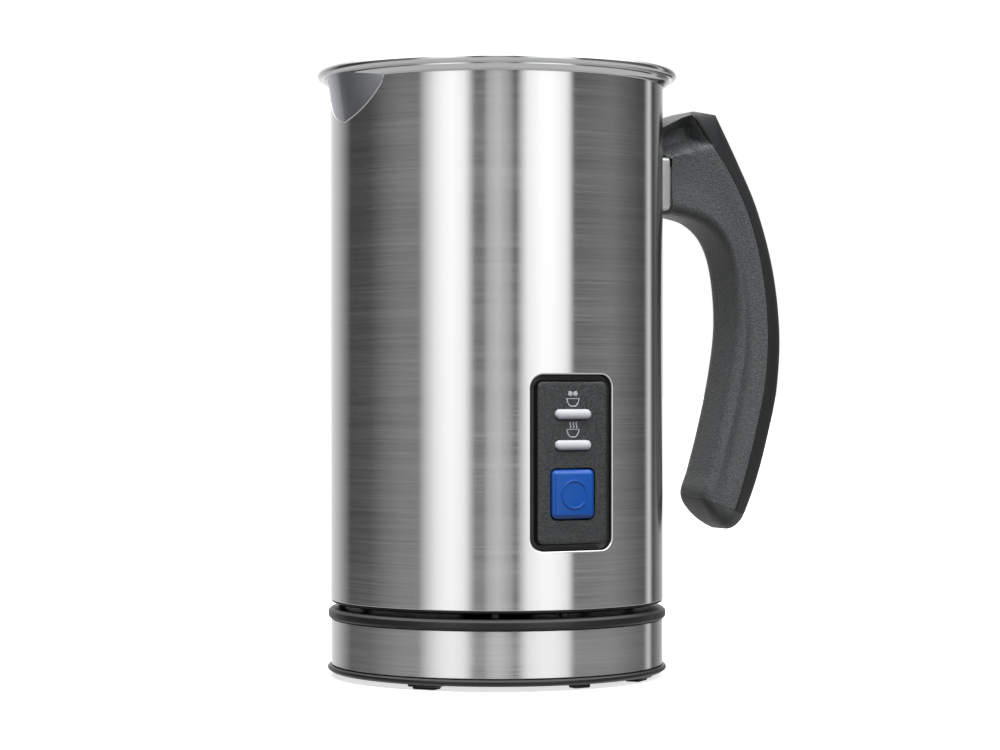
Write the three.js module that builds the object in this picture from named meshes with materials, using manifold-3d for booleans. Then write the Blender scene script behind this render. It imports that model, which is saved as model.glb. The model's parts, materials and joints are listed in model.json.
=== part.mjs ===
// Cordless milk frother: a double-walled steel jug that stands on a round power base.
// Millimetres, +Z up. The origin is on the jug's axis, at the level of the feet's soles.
// The control panel faces -Y, the handle is at +X and the pouring lip at -X.

import * as THREE from 'three';
import { mergeVertices } from 'three/addons/utils/BufferGeometryUtils.js';
import Module from 'manifold-3d';

// ---------------------------------------------------------------- driving dimensions

const GAP = 0.3; // clearance between pieces that rest on or in each other
const RING = 36; // sides of a large round piece
const MEDIUM = 20;
const SMALL = 12; // sides of a small round piece
const SCREW_SIDES = 8;
const MERGE = 1e-4;

const BODY_R = 54; // outside of the steel shell
const SHELL_T = 0.7;
const SHELL_LOW = 24.9;
const FLARE_Z = 190.8; // where the rim starts to flare outwards
const RIM_R = 58.2;
const RIM_TOP = 195.7;
const SHEET_T = 0.8; // wall of the drawn inner pot

const POT_R = 47; // inside of the pot
const POT_FLOOR = 103;
const SHOULDER_Z = 171.4; // where the pot widens to the mouth
const MOUTH_R = 52.2;
const MOUTH_LOW = 176.4; // where the rim is joined to the pot

const LIP_TIP_Z = 177.5; // lowest point of the pouring lip
const LIP_HALF_ANGLE = THREE.MathUtils.degToRad(24);
const LIP_REACH = 2.3; // how far the lip leans out beyond the shell
const LIP_CURVE = 1.65; // 1 gives a straight-sided V, more gives a rounder one
const LIP_STEPS = 12;

const PANEL = { width: 27, height: 54.3, low: 43.1, corner: 3.5, face: -52.2, back: -48.2 };
const LENS = { width: 12.5, height: 3.2, upper: 85.2, lower: 75.65 };
const BUTTON = { width: 14.7, height: 15.2, z: 60.5, corner: 1.7, proud: 1 };
const BOARD = { width: 26, low: 47.2, high: 97, front: -39.6, thickness: 1.6 };

const HANDLE_WIDTH = 20;
const HANDLE_WALL = 3;
const COVER_T = 5; // depth of the handle's outer cover
const BRACKET = { low: 152.5, high: 170, depth: 6, width: 15 };

const BASE_R = 55;
const BAND_R = 53.8;
const BAND_T = 0.8;
const BASE_RING_TOP = 3.8;
const BAND_TOP = 19;
const BASE_TOP = 22.3;
const FOOT = { inner: 46, outer: 51, width: 6.5, height: 2.3 };
const FOOT_ANGLES = [40, 133, 220, 307]; // from the panel's side towards the handle
const RIB_ANGLE = 6;
const BASE_SCREW_R = 38;
const INLET = { z: 10.4, outer: 4.2, bore: 3 };

const TOWER_R = 10.2;
const TOWER_TOP = 31;
const SOCKET_R = 14.9;

const COVER_LOW = 23.7; // underside of the jug's bottom cover
const COVER_SCREW_R = 32;
const PEG_R = 50.5;
const PEG_ANGLES = [3, 28, 123, 148, 243, 268];

const CHASSIS_Z = 44;
const MOTOR = { radius: 14.5, low: 50.7, high: 86 };
const SHAFT_R = 1.6;
const SHAFT_TOP = 118;
const ELEMENT = { ring: 24, tube: 3, z: 95.2 };

const LID_Z = 181;
const LID_R = 49.4;
const KNOB_TOP = 194;
const WHISK = { z: 106.2, ring: 17, tube: 3 };

const THIRDS = [90, 210, 330];

// ---------------------------------------------------------------- materials

/** Makes a material from a colour, a roughness and a metalness. */
function finish(color, roughness, metalness = 0) {
  return new THREE.MeshStandardMaterial({ color, roughness, metalness });
}

const brushedSteel = () => finish(0xb9bbbd, 0.36, 1);
const polishedSteel = () => finish(0xc9cbcf, 0.14, 1);
const zincSteel = () => finish(0x9fa3a6, 0.4, 1);
const blackPlastic = () => finish(0x151516, 0.5);
const rubber = () => finish(0x1b1b1b, 0.85);
const bluePlastic = () => finish(0x164da0, 0.32);
const lensPlastic = () => finish(0xd9dde0, 0.3);
const clearPlastic = () => finish(0xe9eef0, 0.08);
const silicone = () => finish(0x8d9196, 0.6);
const brass = () => finish(0xb8924a, 0.3, 1);
const copper = () => finish(0xb4693f, 0.35, 1);
const aluminium = () => finish(0xc4c6c8, 0.4, 1);
const magnet = () => finish(0x2f3135, 0.6);
const boardGreen = () => finish(0x1f5a36, 0.5);

// ---------------------------------------------------------------- geometry helpers

/** Turns a closed geometry into a solid that can be cut and joined. */
function toSolid(geometry) {
  const bare = geometry.clone();
  bare.deleteAttribute('normal');
  bare.deleteAttribute('uv');
  const merged = mergeVertices(bare, MERGE);
  const corners = merged.index.array;
  const kept = [];
  for (let i = 0; i < corners.length; i += 3) {
    const [a, b, c] = corners.slice(i, i + 3);
    if (a !== b && b !== c && c !== a) kept.push(a, b, c);
  }
  const vertProperties = new Float32Array(merged.attributes.position.array);
  return new wasm.Manifold(new wasm.Mesh({ numProp: 3, vertProperties, triVerts: new Uint32Array(kept) }));
}

/** Turns a solid back into a geometry. */
function toGeometry(solid) {
  const mesh = solid.getMesh();
  const geometry = new THREE.BufferGeometry();
  geometry.setAttribute('position', new THREE.BufferAttribute(mesh.vertProperties, 3));
  geometry.setIndex(new THREE.BufferAttribute(mesh.triVerts, 1));
  geometry.computeVertexNormals();
  return geometry;
}

/** Joins geometries that overlap into one body. */
function join(first, ...rest) {
  return toGeometry(rest.reduce((all, piece) => all.add(toSolid(piece)), toSolid(first)));
}

/** Cuts the given shapes out of a geometry. */
function cut(stock, ...cutters) {
  return toGeometry(cutters.reduce((all, piece) => all.subtract(toSolid(piece)), toSolid(stock)));
}

/** Turns a profile of [radius, height] points about Z; a profile off the axis is closed. */
function turned(profile, sides = RING) {
  const points = profile.map(([r, z]) => new THREE.Vector2(r, z));
  const onAxis = points[0].x === 0 && points.at(-1).x === 0;
  if (THREE.ShapeUtils.area(points) < 0) points.reverse();
  if (!onAxis) points.push(points[0].clone());
  return new THREE.LatheGeometry(points, sides).rotateX(Math.PI / 2);
}

/** A plain round ring or tube about Z. */
function tube(inner, outer, low, high, sides = SMALL) {
  return turned([[inner, low], [outer, low], [outer, high], [inner, high]], sides);
}

/** A round rod along Z. */
function rod(radius, low, high, x = 0, y = 0, sides = SMALL) {
  return new THREE.CylinderGeometry(radius, radius, high - low, sides)
    .rotateX(Math.PI / 2)
    .translate(x, y, (low + high) / 2);
}

/** A round rod along X or Y, from one place to another on that axis. */
function crossRod(radius, axis, from, to, across, z, sides = SMALL) {
  const geometry = new THREE.CylinderGeometry(radius, radius, to - from, sides);
  const middle = (from + to) / 2;
  if (axis === 'x') return geometry.rotateZ(Math.PI / 2).translate(middle, across, z);
  return geometry.translate(across, middle, z);
}

/** A box from its lowest to its highest corner. */
function box(low, high) {
  const size = high.map((value, i) => value - low[i]);
  const middle = high.map((value, i) => (value + low[i]) / 2);
  return new THREE.BoxGeometry(...size).translate(...middle);
}

/** A rectangle with round corners, about a centre. */
function roundedRect(width, height, radius, cx = 0, cy = 0) {
  const [x, y] = [cx - width / 2, cy - height / 2];
  const shape = new THREE.Shape();
  shape.moveTo(x + radius, y);
  shape.absarc(x + width - radius, y + radius, radius, -Math.PI / 2, 0);
  shape.absarc(x + width - radius, y + height - radius, radius, 0, Math.PI / 2);
  shape.absarc(x + radius, y + height - radius, radius, Math.PI / 2, Math.PI);
  shape.absarc(x + radius, y + radius, radius, Math.PI, Math.PI * 1.5);
  return shape;
}

/** A plate across Y, cut from a shape drawn in X and Z. */
function slabY(shape, front, back) {
  const options = { depth: back - front, bevelEnabled: false, curveSegments: 3 };
  return new THREE.ExtrudeGeometry(shape, options).rotateX(Math.PI / 2).translate(0, back, 0);
}

/** Flips a geometry's faces if they point inwards. */
function outward(geometry) {
  const { position } = geometry.attributes;
  const index = geometry.index.array;
  const corner = (i) => new THREE.Vector3().fromBufferAttribute(position, index[i]);
  let volume = 0;
  for (let i = 0; i < index.length; i += 3) volume += corner(i).dot(corner(i + 1).cross(corner(i + 2)));
  if (volume < 0) index.reverse();
  geometry.computeVertexNormals();
  return geometry;
}

/** Sweeps an outline that may change along the way; place() puts an outline point in space. */
function loft(steps, outline, place) {
  const outlines = Array.from({ length: steps + 1 }, (_, i) => outline(i / steps));
  const count = outlines[0].length;
  const corners = outlines.flatMap((points, i) => points.map((p) => place(i / steps, p)));
  const index = [];
  for (let i = 0; i < steps; i += 1) {
    for (let j = 0; j < count; j += 1) {
      const a = i * count + j;
      const b = i * count + ((j + 1) % count);
      index.push(a, b, b + count, a, b + count, a + count);
    }
  }
  THREE.ShapeUtils.triangulateShape(outlines[0], []).forEach(([a, b, c]) => index.push(c, b, a));
  const last = steps * count;
  THREE.ShapeUtils.triangulateShape(outlines[steps], [])
    .forEach(([a, b, c]) => index.push(last + a, last + b, last + c));
  const geometry = new THREE.BufferGeometry().setFromPoints(corners);
  geometry.setIndex(index);
  return outward(geometry);
}

/** X and Y of a point at a radius and an angle in degrees from +X. */
function polar(radius, degrees) {
  const angle = THREE.MathUtils.degToRad(degrees);
  return [radius * Math.cos(angle), radius * Math.sin(angle)];
}

/** Puts a named piece in a group. */
function add(group, name, geometry, material) {
  const mesh = new THREE.Mesh(geometry, material);
  mesh.name = name;
  group.add(mesh);
  return mesh;
}

/** A screw that points up: a head and a shank, about its own axis. */
function screw(headLow, headHigh, tip) {
  return turned([
    [0, headLow], [2.4, headLow], [3, headLow + 0.6], [3, headHigh], [1.5, headHigh], [1.5, tip], [0, tip],
  ], SCREW_SIDES);
}

const wasm = await Module();
wasm.setup();

// ---------------------------------------------------------------- power base

/** The hole that the lead's bush sits in, through the back of the base. */
function inletHole() {
  return crossRod(INLET.outer + GAP, 'y', 44, 60, 0, INLET.z);
}

/** A rubber foot, or the pocket for it, grown by a margin. */
function footBlock(angle, margin, low, high) {
  const block = box(
    [FOOT.inner - margin, -FOOT.width / 2 - margin, low],
    [FOOT.outer + margin, FOOT.width / 2 + margin, high],
  );
  return block.rotateZ(THREE.MathUtils.degToRad(angle - 90));
}

/** Floor of the base, with its rim, a collar that centres the band, screw bosses and foot pockets. */
function baseBottomCover() {
  const floor = turned([
    [0, 1], [30, 1], [30.6, 1.6], [45, 1.6], [45.4, 1.2], [54.2, 1.2], [BASE_R, 2], [BASE_R, 3.4],
    [BASE_R - 0.4, BASE_RING_TOP], [51.9, BASE_RING_TOP], [51.9, 7.5], [50.4, 7.5], [50.4, 3.6], [0, 3.6],
  ]);
  const places = THIRDS.map((angle) => polar(BASE_SCREW_R, angle + 60));
  const bosses = places.map(([x, y]) => rod(5, 3.3, 6, x, y));
  const heads = places.map(([x, y]) => rod(3.4, -1, 4.2, x, y, SCREW_SIDES));
  const holes = places.map(([x, y]) => rod(1.8, 0, 9, x, y, SCREW_SIDES));
  const pockets = FOOT_ANGLES.map((angle) => footBlock(angle, GAP, -1, FOOT.height + GAP));
  const rib = box([46, -2.9, 0.1], [50, 2.9, 2]).rotateZ(THREE.MathUtils.degToRad(RIB_ANGLE - 90));
  return cut(join(floor, ...bosses, rib), ...heads, ...holes, ...pockets, inletHole());
}

/** Brushed steel band round the base. */
function baseBand() {
  return cut(tube(BAND_R - BAND_T, BAND_R, BASE_RING_TOP + GAP, BAND_TOP - GAP, RING), inletHole());
}

/** Top of the base, dished inside its rim, with a skirt inside the band and three screw pillars. */
function baseTopCover() {
  const top = turned([
    [12.3, 19.4], [51, 19.4], [51, 9], [52.6, 9], [52.6, BAND_TOP], [54.3, BAND_TOP], [54.8, 19.5],
    [54.8, 21.5], [54.4, 22.1], [53.9, BASE_TOP], [49.4, BASE_TOP], [47.8, 21.2], [12.3, 21.2],
  ]);
  const places = THIRDS.map((angle) => polar(BASE_SCREW_R, angle + 60));
  const pillars = places.map(([x, y]) => rod(3.8, 6.3, 19.8, x, y));
  const holes = places.map(([x, y]) => rod(1.8, 5, 17, x, y, SCREW_SIDES));
  return cut(join(top, ...pillars), ...holes, inletHole());
}

/** Round plug that carries power into the jug, at any angle of the jug. */
function baseConnector() {
  return turned([
    [2.8, 16.6], [17, 16.6], [17, 19.1], [12, 19.1], [12, 24.2], [TOWER_R, 24.6],
    [TOWER_R, 30.3], [9.5, TOWER_TOP], [4.4, TOWER_TOP], [4.4, 26], [2.8, 26],
  ], MEDIUM);
}

/** The base and everything that stays on the table. */
function base() {
  const group = new THREE.Group();
  add(group, 'base_bottom_cover', baseBottomCover(), blackPlastic());
  add(group, 'base_band', baseBand(), brushedSteel());
  add(group, 'base_top_cover', baseTopCover(), blackPlastic());
  add(group, 'base_connector', baseConnector(), blackPlastic());
  add(group, 'contact_ring', tube(TOWER_R + 0.2, TOWER_R + 1, 25, 28, MEDIUM), brass());
  const pin = [[0, 14], [2.5, 14], [2.5, 28.6], [1.8, 29.6], [0, 30]];
  add(group, 'contact_pin', turned(pin, SMALL), brass());
  FOOT_ANGLES.forEach((angle, i) => {
    add(group, `base_foot_${i + 1}`, footBlock(angle, 0, 0, FOOT.height), rubber());
  });
  THIRDS.forEach((angle, i) => {
    const mesh = add(group, `base_screw_${i + 1}`, screw(2, 3.9, 15), zincSteel());
    mesh.position.set(...polar(BASE_SCREW_R, angle + 60), 0);
  });
  const bush = crossRod(INLET.outer, 'y', 49.5, 55.2, 0, INLET.z);
  add(group, 'cord_inlet_bush', cut(bush, crossRod(INLET.bore, 'y', 40, 60, 0, INLET.z)), rubber());
  return group;
}

// ---------------------------------------------------------------- socket under the jug

/** Female half of the power connector. It is round, so the jug can stand at any angle. */
function socket() {
  const group = new THREE.Group();
  const housing = [
    [12.7, 24.8], [SOCKET_R, 24.8], [SOCKET_R, 37], [3.2, 37], [3.2, 33], [12.7, 33],
  ];
  add(group, 'socket_housing', turned(housing, MEDIUM), blackPlastic());
  add(group, 'socket_sleeve', tube(TOWER_R + 1.3, TOWER_R + 2.2, 26, 32.6, MEDIUM), brass());
  return group;
}

// ---------------------------------------------------------------- jug body

/** How far an angle is from the lip's middle to its end, from 0 to 1, rounded off at the middle. */
function lipShare(angle) {
  return Math.abs(angle / LIP_HALF_ANGLE) ** LIP_CURVE;
}

/** Height of the pouring lip's lower edge at an angle from its middle. */
function lipLow(angle) {
  return THREE.MathUtils.lerp(LIP_TIP_Z, FLARE_Z, lipShare(angle));
}

/** Radius of the pouring lip's top edge at an angle from its middle. */
function lipTopR(angle) {
  return BODY_R + LIP_REACH * (1 - lipShare(angle));
}

/** Puts a point of a radius and a height in space, at an angle from the middle of the lip. */
function aroundLip(angle, point) {
  return new THREE.Vector3(-point.x * Math.cos(angle), -point.x * Math.sin(angle), point.y);
}

/** Rolled edge of the rim, from its outside up and over to the inside. */
const RIM_BEAD = [
  [57.1, 193.3], [57.9, 193.7], [RIM_R, 194.5], [58, 195.3], [57.4, RIM_TOP], [56.8, RIM_TOP], [56.2, 195.2],
];

/** The V that the lip takes out of the shell, the mouth's wall and the foot of the flare. */
function lipNotch() {
  const end = LIP_HALF_ANGLE * 1.02;
  const angle = (t) => THREE.MathUtils.lerp(-end, end, t);
  const outline = (t) => {
    const [low, reach] = [lipLow(angle(t)) - GAP, lipTopR(angle(t)) + GAP];
    return [[51, low], [reach, low], [reach, 199], [51, 199]].map(([r, z]) => new THREE.Vector2(r, z));
  };
  return loft(LIP_STEPS, outline, (t, point) => aroundLip(angle(t), point));
}

/** Pouring lip: a V of polished sheet that leans out from the shell to the rim's rolled edge. */
function pouringLip() {
  const angle = (t) => THREE.MathUtils.lerp(-LIP_HALF_ANGLE, LIP_HALF_ANGLE, t);
  const outline = (t) => {
    const [low, reach] = [lipLow(angle(t)), lipTopR(angle(t))];
    const foot = FLARE_Z + (reach - BODY_R) * 0.8;
    return [
      [BODY_R, low], [reach, foot + 0.1], [reach, foot + 1.6], [reach - SHEET_T, foot + 1],
      [BODY_R - 0.9, low + 0.3],
    ].map(([r, z]) => new THREE.Vector2(r, z));
  };
  return loft(LIP_STEPS, outline, (t, point) => aroundLip(angle(t), point));
}

/** Opening for the control panel, as a shape in X and Z grown by a margin. */
function panelOutline(margin) {
  const middle = PANEL.low + PANEL.height / 2;
  const [width, height] = [PANEL.width + 2 * margin, PANEL.height + 2 * margin];
  return roundedRect(width, height, PANEL.corner + margin, 0, middle);
}

/** Outer steel wall, with the openings for the panel, the lip and the handle's screw. */
function outerShell() {
  const wall = tube(BODY_R - SHELL_T, BODY_R, SHELL_LOW, FLARE_Z - GAP, RING);
  return cut(wall, slabY(panelOutline(0), -60, -40), lipNotch(), handleScrewHole());
}

/** Drawn inner pot, with a shoulder that widens to the mouth and carries the lid. */
function innerPot() {
  return turned([
    [5.4, POT_FLOOR - SHEET_T], [42, POT_FLOOR - SHEET_T], [46.2, 104.2], [POT_R + SHEET_T, 108.4],
    [POT_R + SHEET_T, SHOULDER_Z - 0.6], [MOUTH_R + SHEET_T, MOUTH_LOW - 1.1], [MOUTH_R + SHEET_T, MOUTH_LOW],
    [MOUTH_R, MOUTH_LOW], [MOUTH_R, MOUTH_LOW - 0.5], [POT_R, SHOULDER_Z], [POT_R, 108.7],
    [45.7, 104.9], [41.8, POT_FLOOR], [5.4, POT_FLOOR],
  ]);
}

/** Rim: the wall of the mouth, its flare and the rolled edge, open behind the lip. */
function rim() {
  const ring = turned([
    [MOUTH_R + SHEET_T, MOUTH_LOW + GAP], [MOUTH_R + SHEET_T, FLARE_Z], [BODY_R, FLARE_Z], ...RIM_BEAD,
    [MOUTH_R + 0.9, 192.1], [MOUTH_R, 190.9], [MOUTH_R, MOUTH_LOW + GAP],
  ]);
  return cut(ring, lipNotch());
}

/** Bottom cover of the jug, with the opening for the socket, screw bosses and standing pegs. */
function jugBottomCover() {
  const plate = turned([
    [15.2, COVER_LOW], [51.8, COVER_LOW], [53.7, 24.3], [53.7, 24.6], [53, 24.6], [53, 30], [51.4, 30],
    [51.4, 26], [17, 26], [17, 38], [15.2, 38],
  ]);
  const places = THIRDS.map((angle) => polar(COVER_SCREW_R, angle));
  const bosses = places.map(([x, y]) => rod(5.4, 25.7, 30, x, y));
  const pegs = PEG_ANGLES.map((angle) => {
    const [x, y] = polar(PEG_R, angle);
    return rod(1.6, BASE_TOP + 0.1, 24, x, y, SCREW_SIDES);
  });
  const heads = places.map(([x, y]) => rod(3.4, 20, 26.3, x, y, SCREW_SIDES));
  const holes = places.map(([x, y]) => rod(1.8, 24, 33, x, y, SCREW_SIDES));
  return cut(join(plate, ...bosses, ...pegs), ...heads, ...holes);
}

/** Plastic frame inside the jug that carries the motor and takes the cover's screws. */
function chassis() {
  const plate = turned([
    [7, CHASSIS_Z], [37, CHASSIS_Z], [37, CHASSIS_Z + 2.5], [17, CHASSIS_Z + 2.5],
    [17, CHASSIS_Z + 6], [15, CHASSIS_Z + 6], [15, CHASSIS_Z + 2.5], [7, CHASSIS_Z + 2.5],
  ], MEDIUM);
  const places = THIRDS.map((angle) => polar(COVER_SCREW_R, angle));
  const pillars = places.map(([x, y]) => rod(4, 30.3, CHASSIS_Z + 1, x, y));
  const holes = places.map(([x, y]) => rod(1.8, 29, 42, x, y, SCREW_SIDES));
  return cut(join(plate, ...pillars), ...holes);
}

/** Shell, pot, lip, cover and frame of the jug. */
function jugBody() {
  const group = new THREE.Group();
  add(group, 'outer_shell', outerShell(), brushedSteel());
  add(group, 'inner_pot', innerPot(), polishedSteel());
  add(group, 'rim', rim(), polishedSteel());
  add(group, 'pouring_lip', pouringLip(), polishedSteel());
  add(group, 'jug_bottom_cover', jugBottomCover(), blackPlastic());
  add(group, 'chassis', chassis(), blackPlastic());
  THIRDS.forEach((angle, i) => {
    const mesh = add(group, `cover_screw_${i + 1}`, screw(24.1, 26, 38), zincSteel());
    mesh.position.set(...polar(COVER_SCREW_R, angle), 0);
  });
  return group;
}

// ---------------------------------------------------------------- heater and motor

/** Sheathed heating element: an open ring under the heater plate. */
function heatingElement() {
  const [start, end] = [Math.PI / 2 + 0.3, Math.PI * 2.5 - 0.3];
  const path = new THREE.Curve();
  path.getPoint = (t, target = new THREE.Vector3()) => {
    const angle = THREE.MathUtils.lerp(start, end, t);
    return target.set(ELEMENT.ring * Math.cos(angle), ELEMENT.ring * Math.sin(angle), ELEMENT.z);
  };
  const section = new THREE.Shape();
  section.absarc(0, 0, ELEMENT.tube, 0, Math.PI * 2);
  return new THREE.ExtrudeGeometry(section, { extrudePath: path, steps: 28, curveSegments: 4 });
}

/** Steel bracket that hangs the motor under the heater plate. */
function motorBracket() {
  const plate = tube(8.5, 33.5, MOTOR.high + GAP, MOTOR.high + 1.8, MEDIUM);
  const posts = THIRDS.map((angle) => {
    const [x, y] = polar(30.5, angle);
    return rod(2.4, MOTOR.high + 1, 98.2, x, y, SCREW_SIDES);
  });
  return join(plate, ...posts);
}

/** Five-pole laminated armature. */
function armature() {
  const poles = 5;
  const shape = new THREE.Shape();
  const half = [[4.2, 24], [7.6, 13], [8, 29], [10, 29]];
  const profile = [...half.map(([radius, offset]) => [radius, -offset]), [10, 0], ...half.toReversed()];
  for (let pole = 0; pole < poles; pole += 1) {
    profile.forEach(([radius, offset], i) => {
      const point = polar(radius, (pole * 360) / poles + offset);
      if (pole + i === 0) shape.moveTo(...point);
      else shape.lineTo(...point);
    });
  }
  const hole = new THREE.Path();
  hole.absarc(0, 0, SHAFT_R + 0.2, 0, Math.PI * 2);
  shape.holes.push(hole);
  const options = { depth: 18, bevelEnabled: false, curveSegments: 6 };
  return new THREE.ExtrudeGeometry(shape, options).translate(0, 0, 60);
}

/** One of the two curved magnets inside the motor. */
function motorMagnet(middle) {
  const [from, to] = [THREE.MathUtils.degToRad(middle - 68), THREE.MathUtils.degToRad(middle + 68)];
  const shape = new THREE.Shape();
  shape.absarc(0, 0, 13.1, from, to);
  shape.absarc(0, 0, 11.2, to, from, true);
  const options = { depth: 26, bevelEnabled: false, curveSegments: 8 };
  return new THREE.ExtrudeGeometry(shape, options).translate(0, 0, 56);
}

/** Heater, thermal controls and the fixed half of the motor. */
function driveUnit() {
  const group = new THREE.Group();
  add(group, 'heater_plate', tube(8, 42, 98.5, POT_FLOOR - SHEET_T - GAP, MEDIUM), aluminium());
  add(group, 'heating_element', heatingElement(), zincSteel());
  const [tx, ty] = polar(36.5, 30);
  add(group, 'thermostat', rod(6, 91, 98.2, tx, ty), zincSteel());
  const [fx, fy] = polar(36.5, 150);
  add(group, 'thermal_fuse', box([fx - 2, fy - 6, 94.2], [fx + 2, fy + 6, 98.2]), silicone());
  const [sx, sy] = polar(33, 270);
  add(group, 'temperature_sensor', rod(2.4, 92, 98.2, sx, sy), zincSteel());
  add(group, 'motor_bracket', motorBracket(), zincSteel());

  const { radius, low, high } = MOTOR;
  const can = [
    [4.2, high], [4.2, high - 1], [radius - 1, high - 1], [radius - 1, low], [radius, low], [radius, high],
  ];
  add(group, 'motor_can', turned(can, MEDIUM), zincSteel());
  const cap = [
    [4.2, 46.9], [radius, 46.9], [radius, 50.4], [13.2, 50.4], [13.2, 52], [12, 52], [12, 49], [4.2, 49],
  ];
  add(group, 'motor_end_cap', turned(cap, MEDIUM), blackPlastic());
  add(group, 'motor_magnet_1', motorMagnet(0), magnet());
  add(group, 'motor_magnet_2', motorMagnet(180), magnet());
  add(group, 'lower_bearing', tube(SHAFT_R + 0.2, 3.9, 47.2, 50.6), brass());
  add(group, 'upper_bearing', tube(SHAFT_R + 0.2, 3.9, 83.5, 88), brass());
  const seal = [
    [SHAFT_R + 0.3, 101], [5, 101], [5, 102.8], [5.1, POT_FLOOR + GAP], [7.6, POT_FLOOR + GAP],
    [7, 104.4], [SHAFT_R + 0.3, 104.8],
  ];
  add(group, 'shaft_seal', turned(seal, SMALL), silicone());
  return group;
}

/** Armature, commutator and shaft, which spin together. */
function rotor() {
  const group = new THREE.Group();
  add(group, 'motor_armature', armature(), zincSteel());
  add(group, 'commutator', tube(SHAFT_R + 0.2, 4.2, 53, 58.5), copper());
  const shaft = [
    [0, 46.2], [SHAFT_R, 46.2], [SHAFT_R, 105.4], [2.6, 105.6], [2.6, SHAFT_TOP - 0.8], [1.8, SHAFT_TOP],
    [0, SHAFT_TOP],
  ];
  add(group, 'drive_shaft', turned(shaft, SMALL), polishedSteel());
  return group;
}

// ---------------------------------------------------------------- control panel and button

/** Pill-shaped outline of a light's lens, grown by a margin. */
function lensOutline(z, margin) {
  const height = LENS.height + 2 * margin;
  return roundedRect(LENS.width + 2 * margin, height, height / 2 - 0.01, 0, z);
}

/** Square outline of the button, grown by a margin. */
function buttonOutline(margin) {
  const [width, height] = [BUTTON.width + 2 * margin, BUTTON.height + 2 * margin];
  return roundedRect(width, height, BUTTON.corner + margin, 0, BUTTON.z);
}

/** Moulded panel: a face in the shell's opening, with a flange behind the shell. */
function controlPanel() {
  const face = slabY(panelOutline(-GAP), PANEL.face, PANEL.back);
  const flange = slabY(panelOutline(1.6), PANEL.back - 1.7, PANEL.back);
  const lenses = [LENS.upper, LENS.lower].map((z) => slabY(lensOutline(z, GAP), -60, -40));
  return cut(join(face, flange), ...lenses, slabY(buttonOutline(GAP), -60, -40));
}

/** Panel, lights, board and the fixed part of the switch. */
function controls() {
  const group = new THREE.Group();
  add(group, 'control_panel', controlPanel(), blackPlastic());
  [LENS.upper, LENS.lower].forEach((z, i) => {
    const lens = slabY(lensOutline(z, 0), PANEL.face - 0.4, -46.5);
    const diode = crossRod(1.5, 'y', -45.6, BOARD.front - GAP, 0, z, SCREW_SIDES);
    add(group, `light_lens_${i + 1}`, lens, lensPlastic());
    add(group, `light_${i + 1}`, diode, lensPlastic());
  });
  const [left, right] = [-BOARD.width / 2, BOARD.width / 2];
  const board = box([left, BOARD.front, BOARD.low], [right, BOARD.front + BOARD.thickness, BOARD.high]);
  add(group, 'control_board', board, boardGreen());
  const body = box([-3, -42.6, BUTTON.z - 3], [3, BOARD.front - GAP, BUTTON.z + 3]);
  add(group, 'tact_switch', cut(body, crossRod(2, 'y', -50, -30, 0, BUTTON.z, SCREW_SIDES)), zincSteel());
  return group;
}

/** The blue button and the switch plunger that it pushes. */
function button() {
  const group = new THREE.Group();
  const cap = slabY(buttonOutline(0), PANEL.face - BUTTON.proud, -47);
  const flange = slabY(buttonOutline(1.1), PANEL.back + GAP, -46.9);
  const stem = crossRod(2, 'y', -47.2, -44.7, 0, BUTTON.z, SCREW_SIDES);
  add(group, 'button_cap', join(cap, flange, stem), bluePlastic());
  add(group, 'switch_plunger', crossRod(1.7, 'y', -44.4, -41.4, 0, BUTTON.z, SCREW_SIDES), blackPlastic());
  return group;
}

// ---------------------------------------------------------------- handle

/** Inner side of the handle, as distance from the axis and height, from the root to the free end. */
const HANDLE_INNER = new THREE.SplineCurve([
  [57, 152], [65, 151.2], [73.2, 149.2], [79.6, 145], [83.6, 138.7], [85.8, 130], [86.8, 118], [86, 107],
  [83.4, 92.5], [79.8, 78], [76.2, 64.5], [74.4, 56.5], [78, 50.2],
].map(([r, z]) => new THREE.Vector2(r, z)));

/** Outer side of the handle, with its points across from those of the inner side. */
const HANDLE_OUTER = new THREE.SplineCurve([
  [54.5, 180.5], [62, 184.6], [70.5, 187], [79.6, 184], [88.5, 169], [95.6, 153.6], [101.6, 133], [104, 112],
  [103.5, 93], [101, 78], [96.8, 62.5], [92.3, 51.6], [87.2, 45.3],
].map(([r, z]) => new THREE.Vector2(r, z)));

/** Depth of the handle from its inner to its outer side. */
function handleDepth(t) {
  return HANDLE_INNER.getPoint(t).distanceTo(HANDLE_OUTER.getPoint(t));
}

/** Puts a point of the handle's section in space: x is depth from the inner side, y is across. */
function alongHandle(t, point) {
  const inner = HANDLE_INNER.getPoint(t);
  const outer = HANDLE_OUTER.getPoint(t);
  const at = inner.lerp(outer, point.x / inner.distanceTo(outer));
  return new THREE.Vector3(at.x, point.y, at.y);
}

/** Section of the grip: round on the fingers' side, with a pocket that the cover closes. */
function gripSection(t) {
  const depth = handleDepth(t) - COVER_T - GAP;
  const half = HANDLE_WIDTH / 2;
  const round = Math.min(6, depth / 2);
  const fromEnd = Math.min(t, 1 - t);
  const hollow = THREE.MathUtils.smoothstep(fromEnd, 0.08, 0.2);
  const pocket = THREE.MathUtils.lerp(0.4, Math.max(0.4, depth - HANDLE_WALL), hollow);
  const inside = half - HANDLE_WALL;
  return [
    [depth, half], [round, half], [round * 0.3, half - round * 0.3], [0, half - round], [0, round - half],
    [round * 0.3, round * 0.3 - half], [round, -half], [depth, -half], [depth, -inside],
    [depth - pocket, -inside], [depth - pocket, inside], [depth, inside],
  ].map(([x, y]) => new THREE.Vector2(x, y));
}

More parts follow.
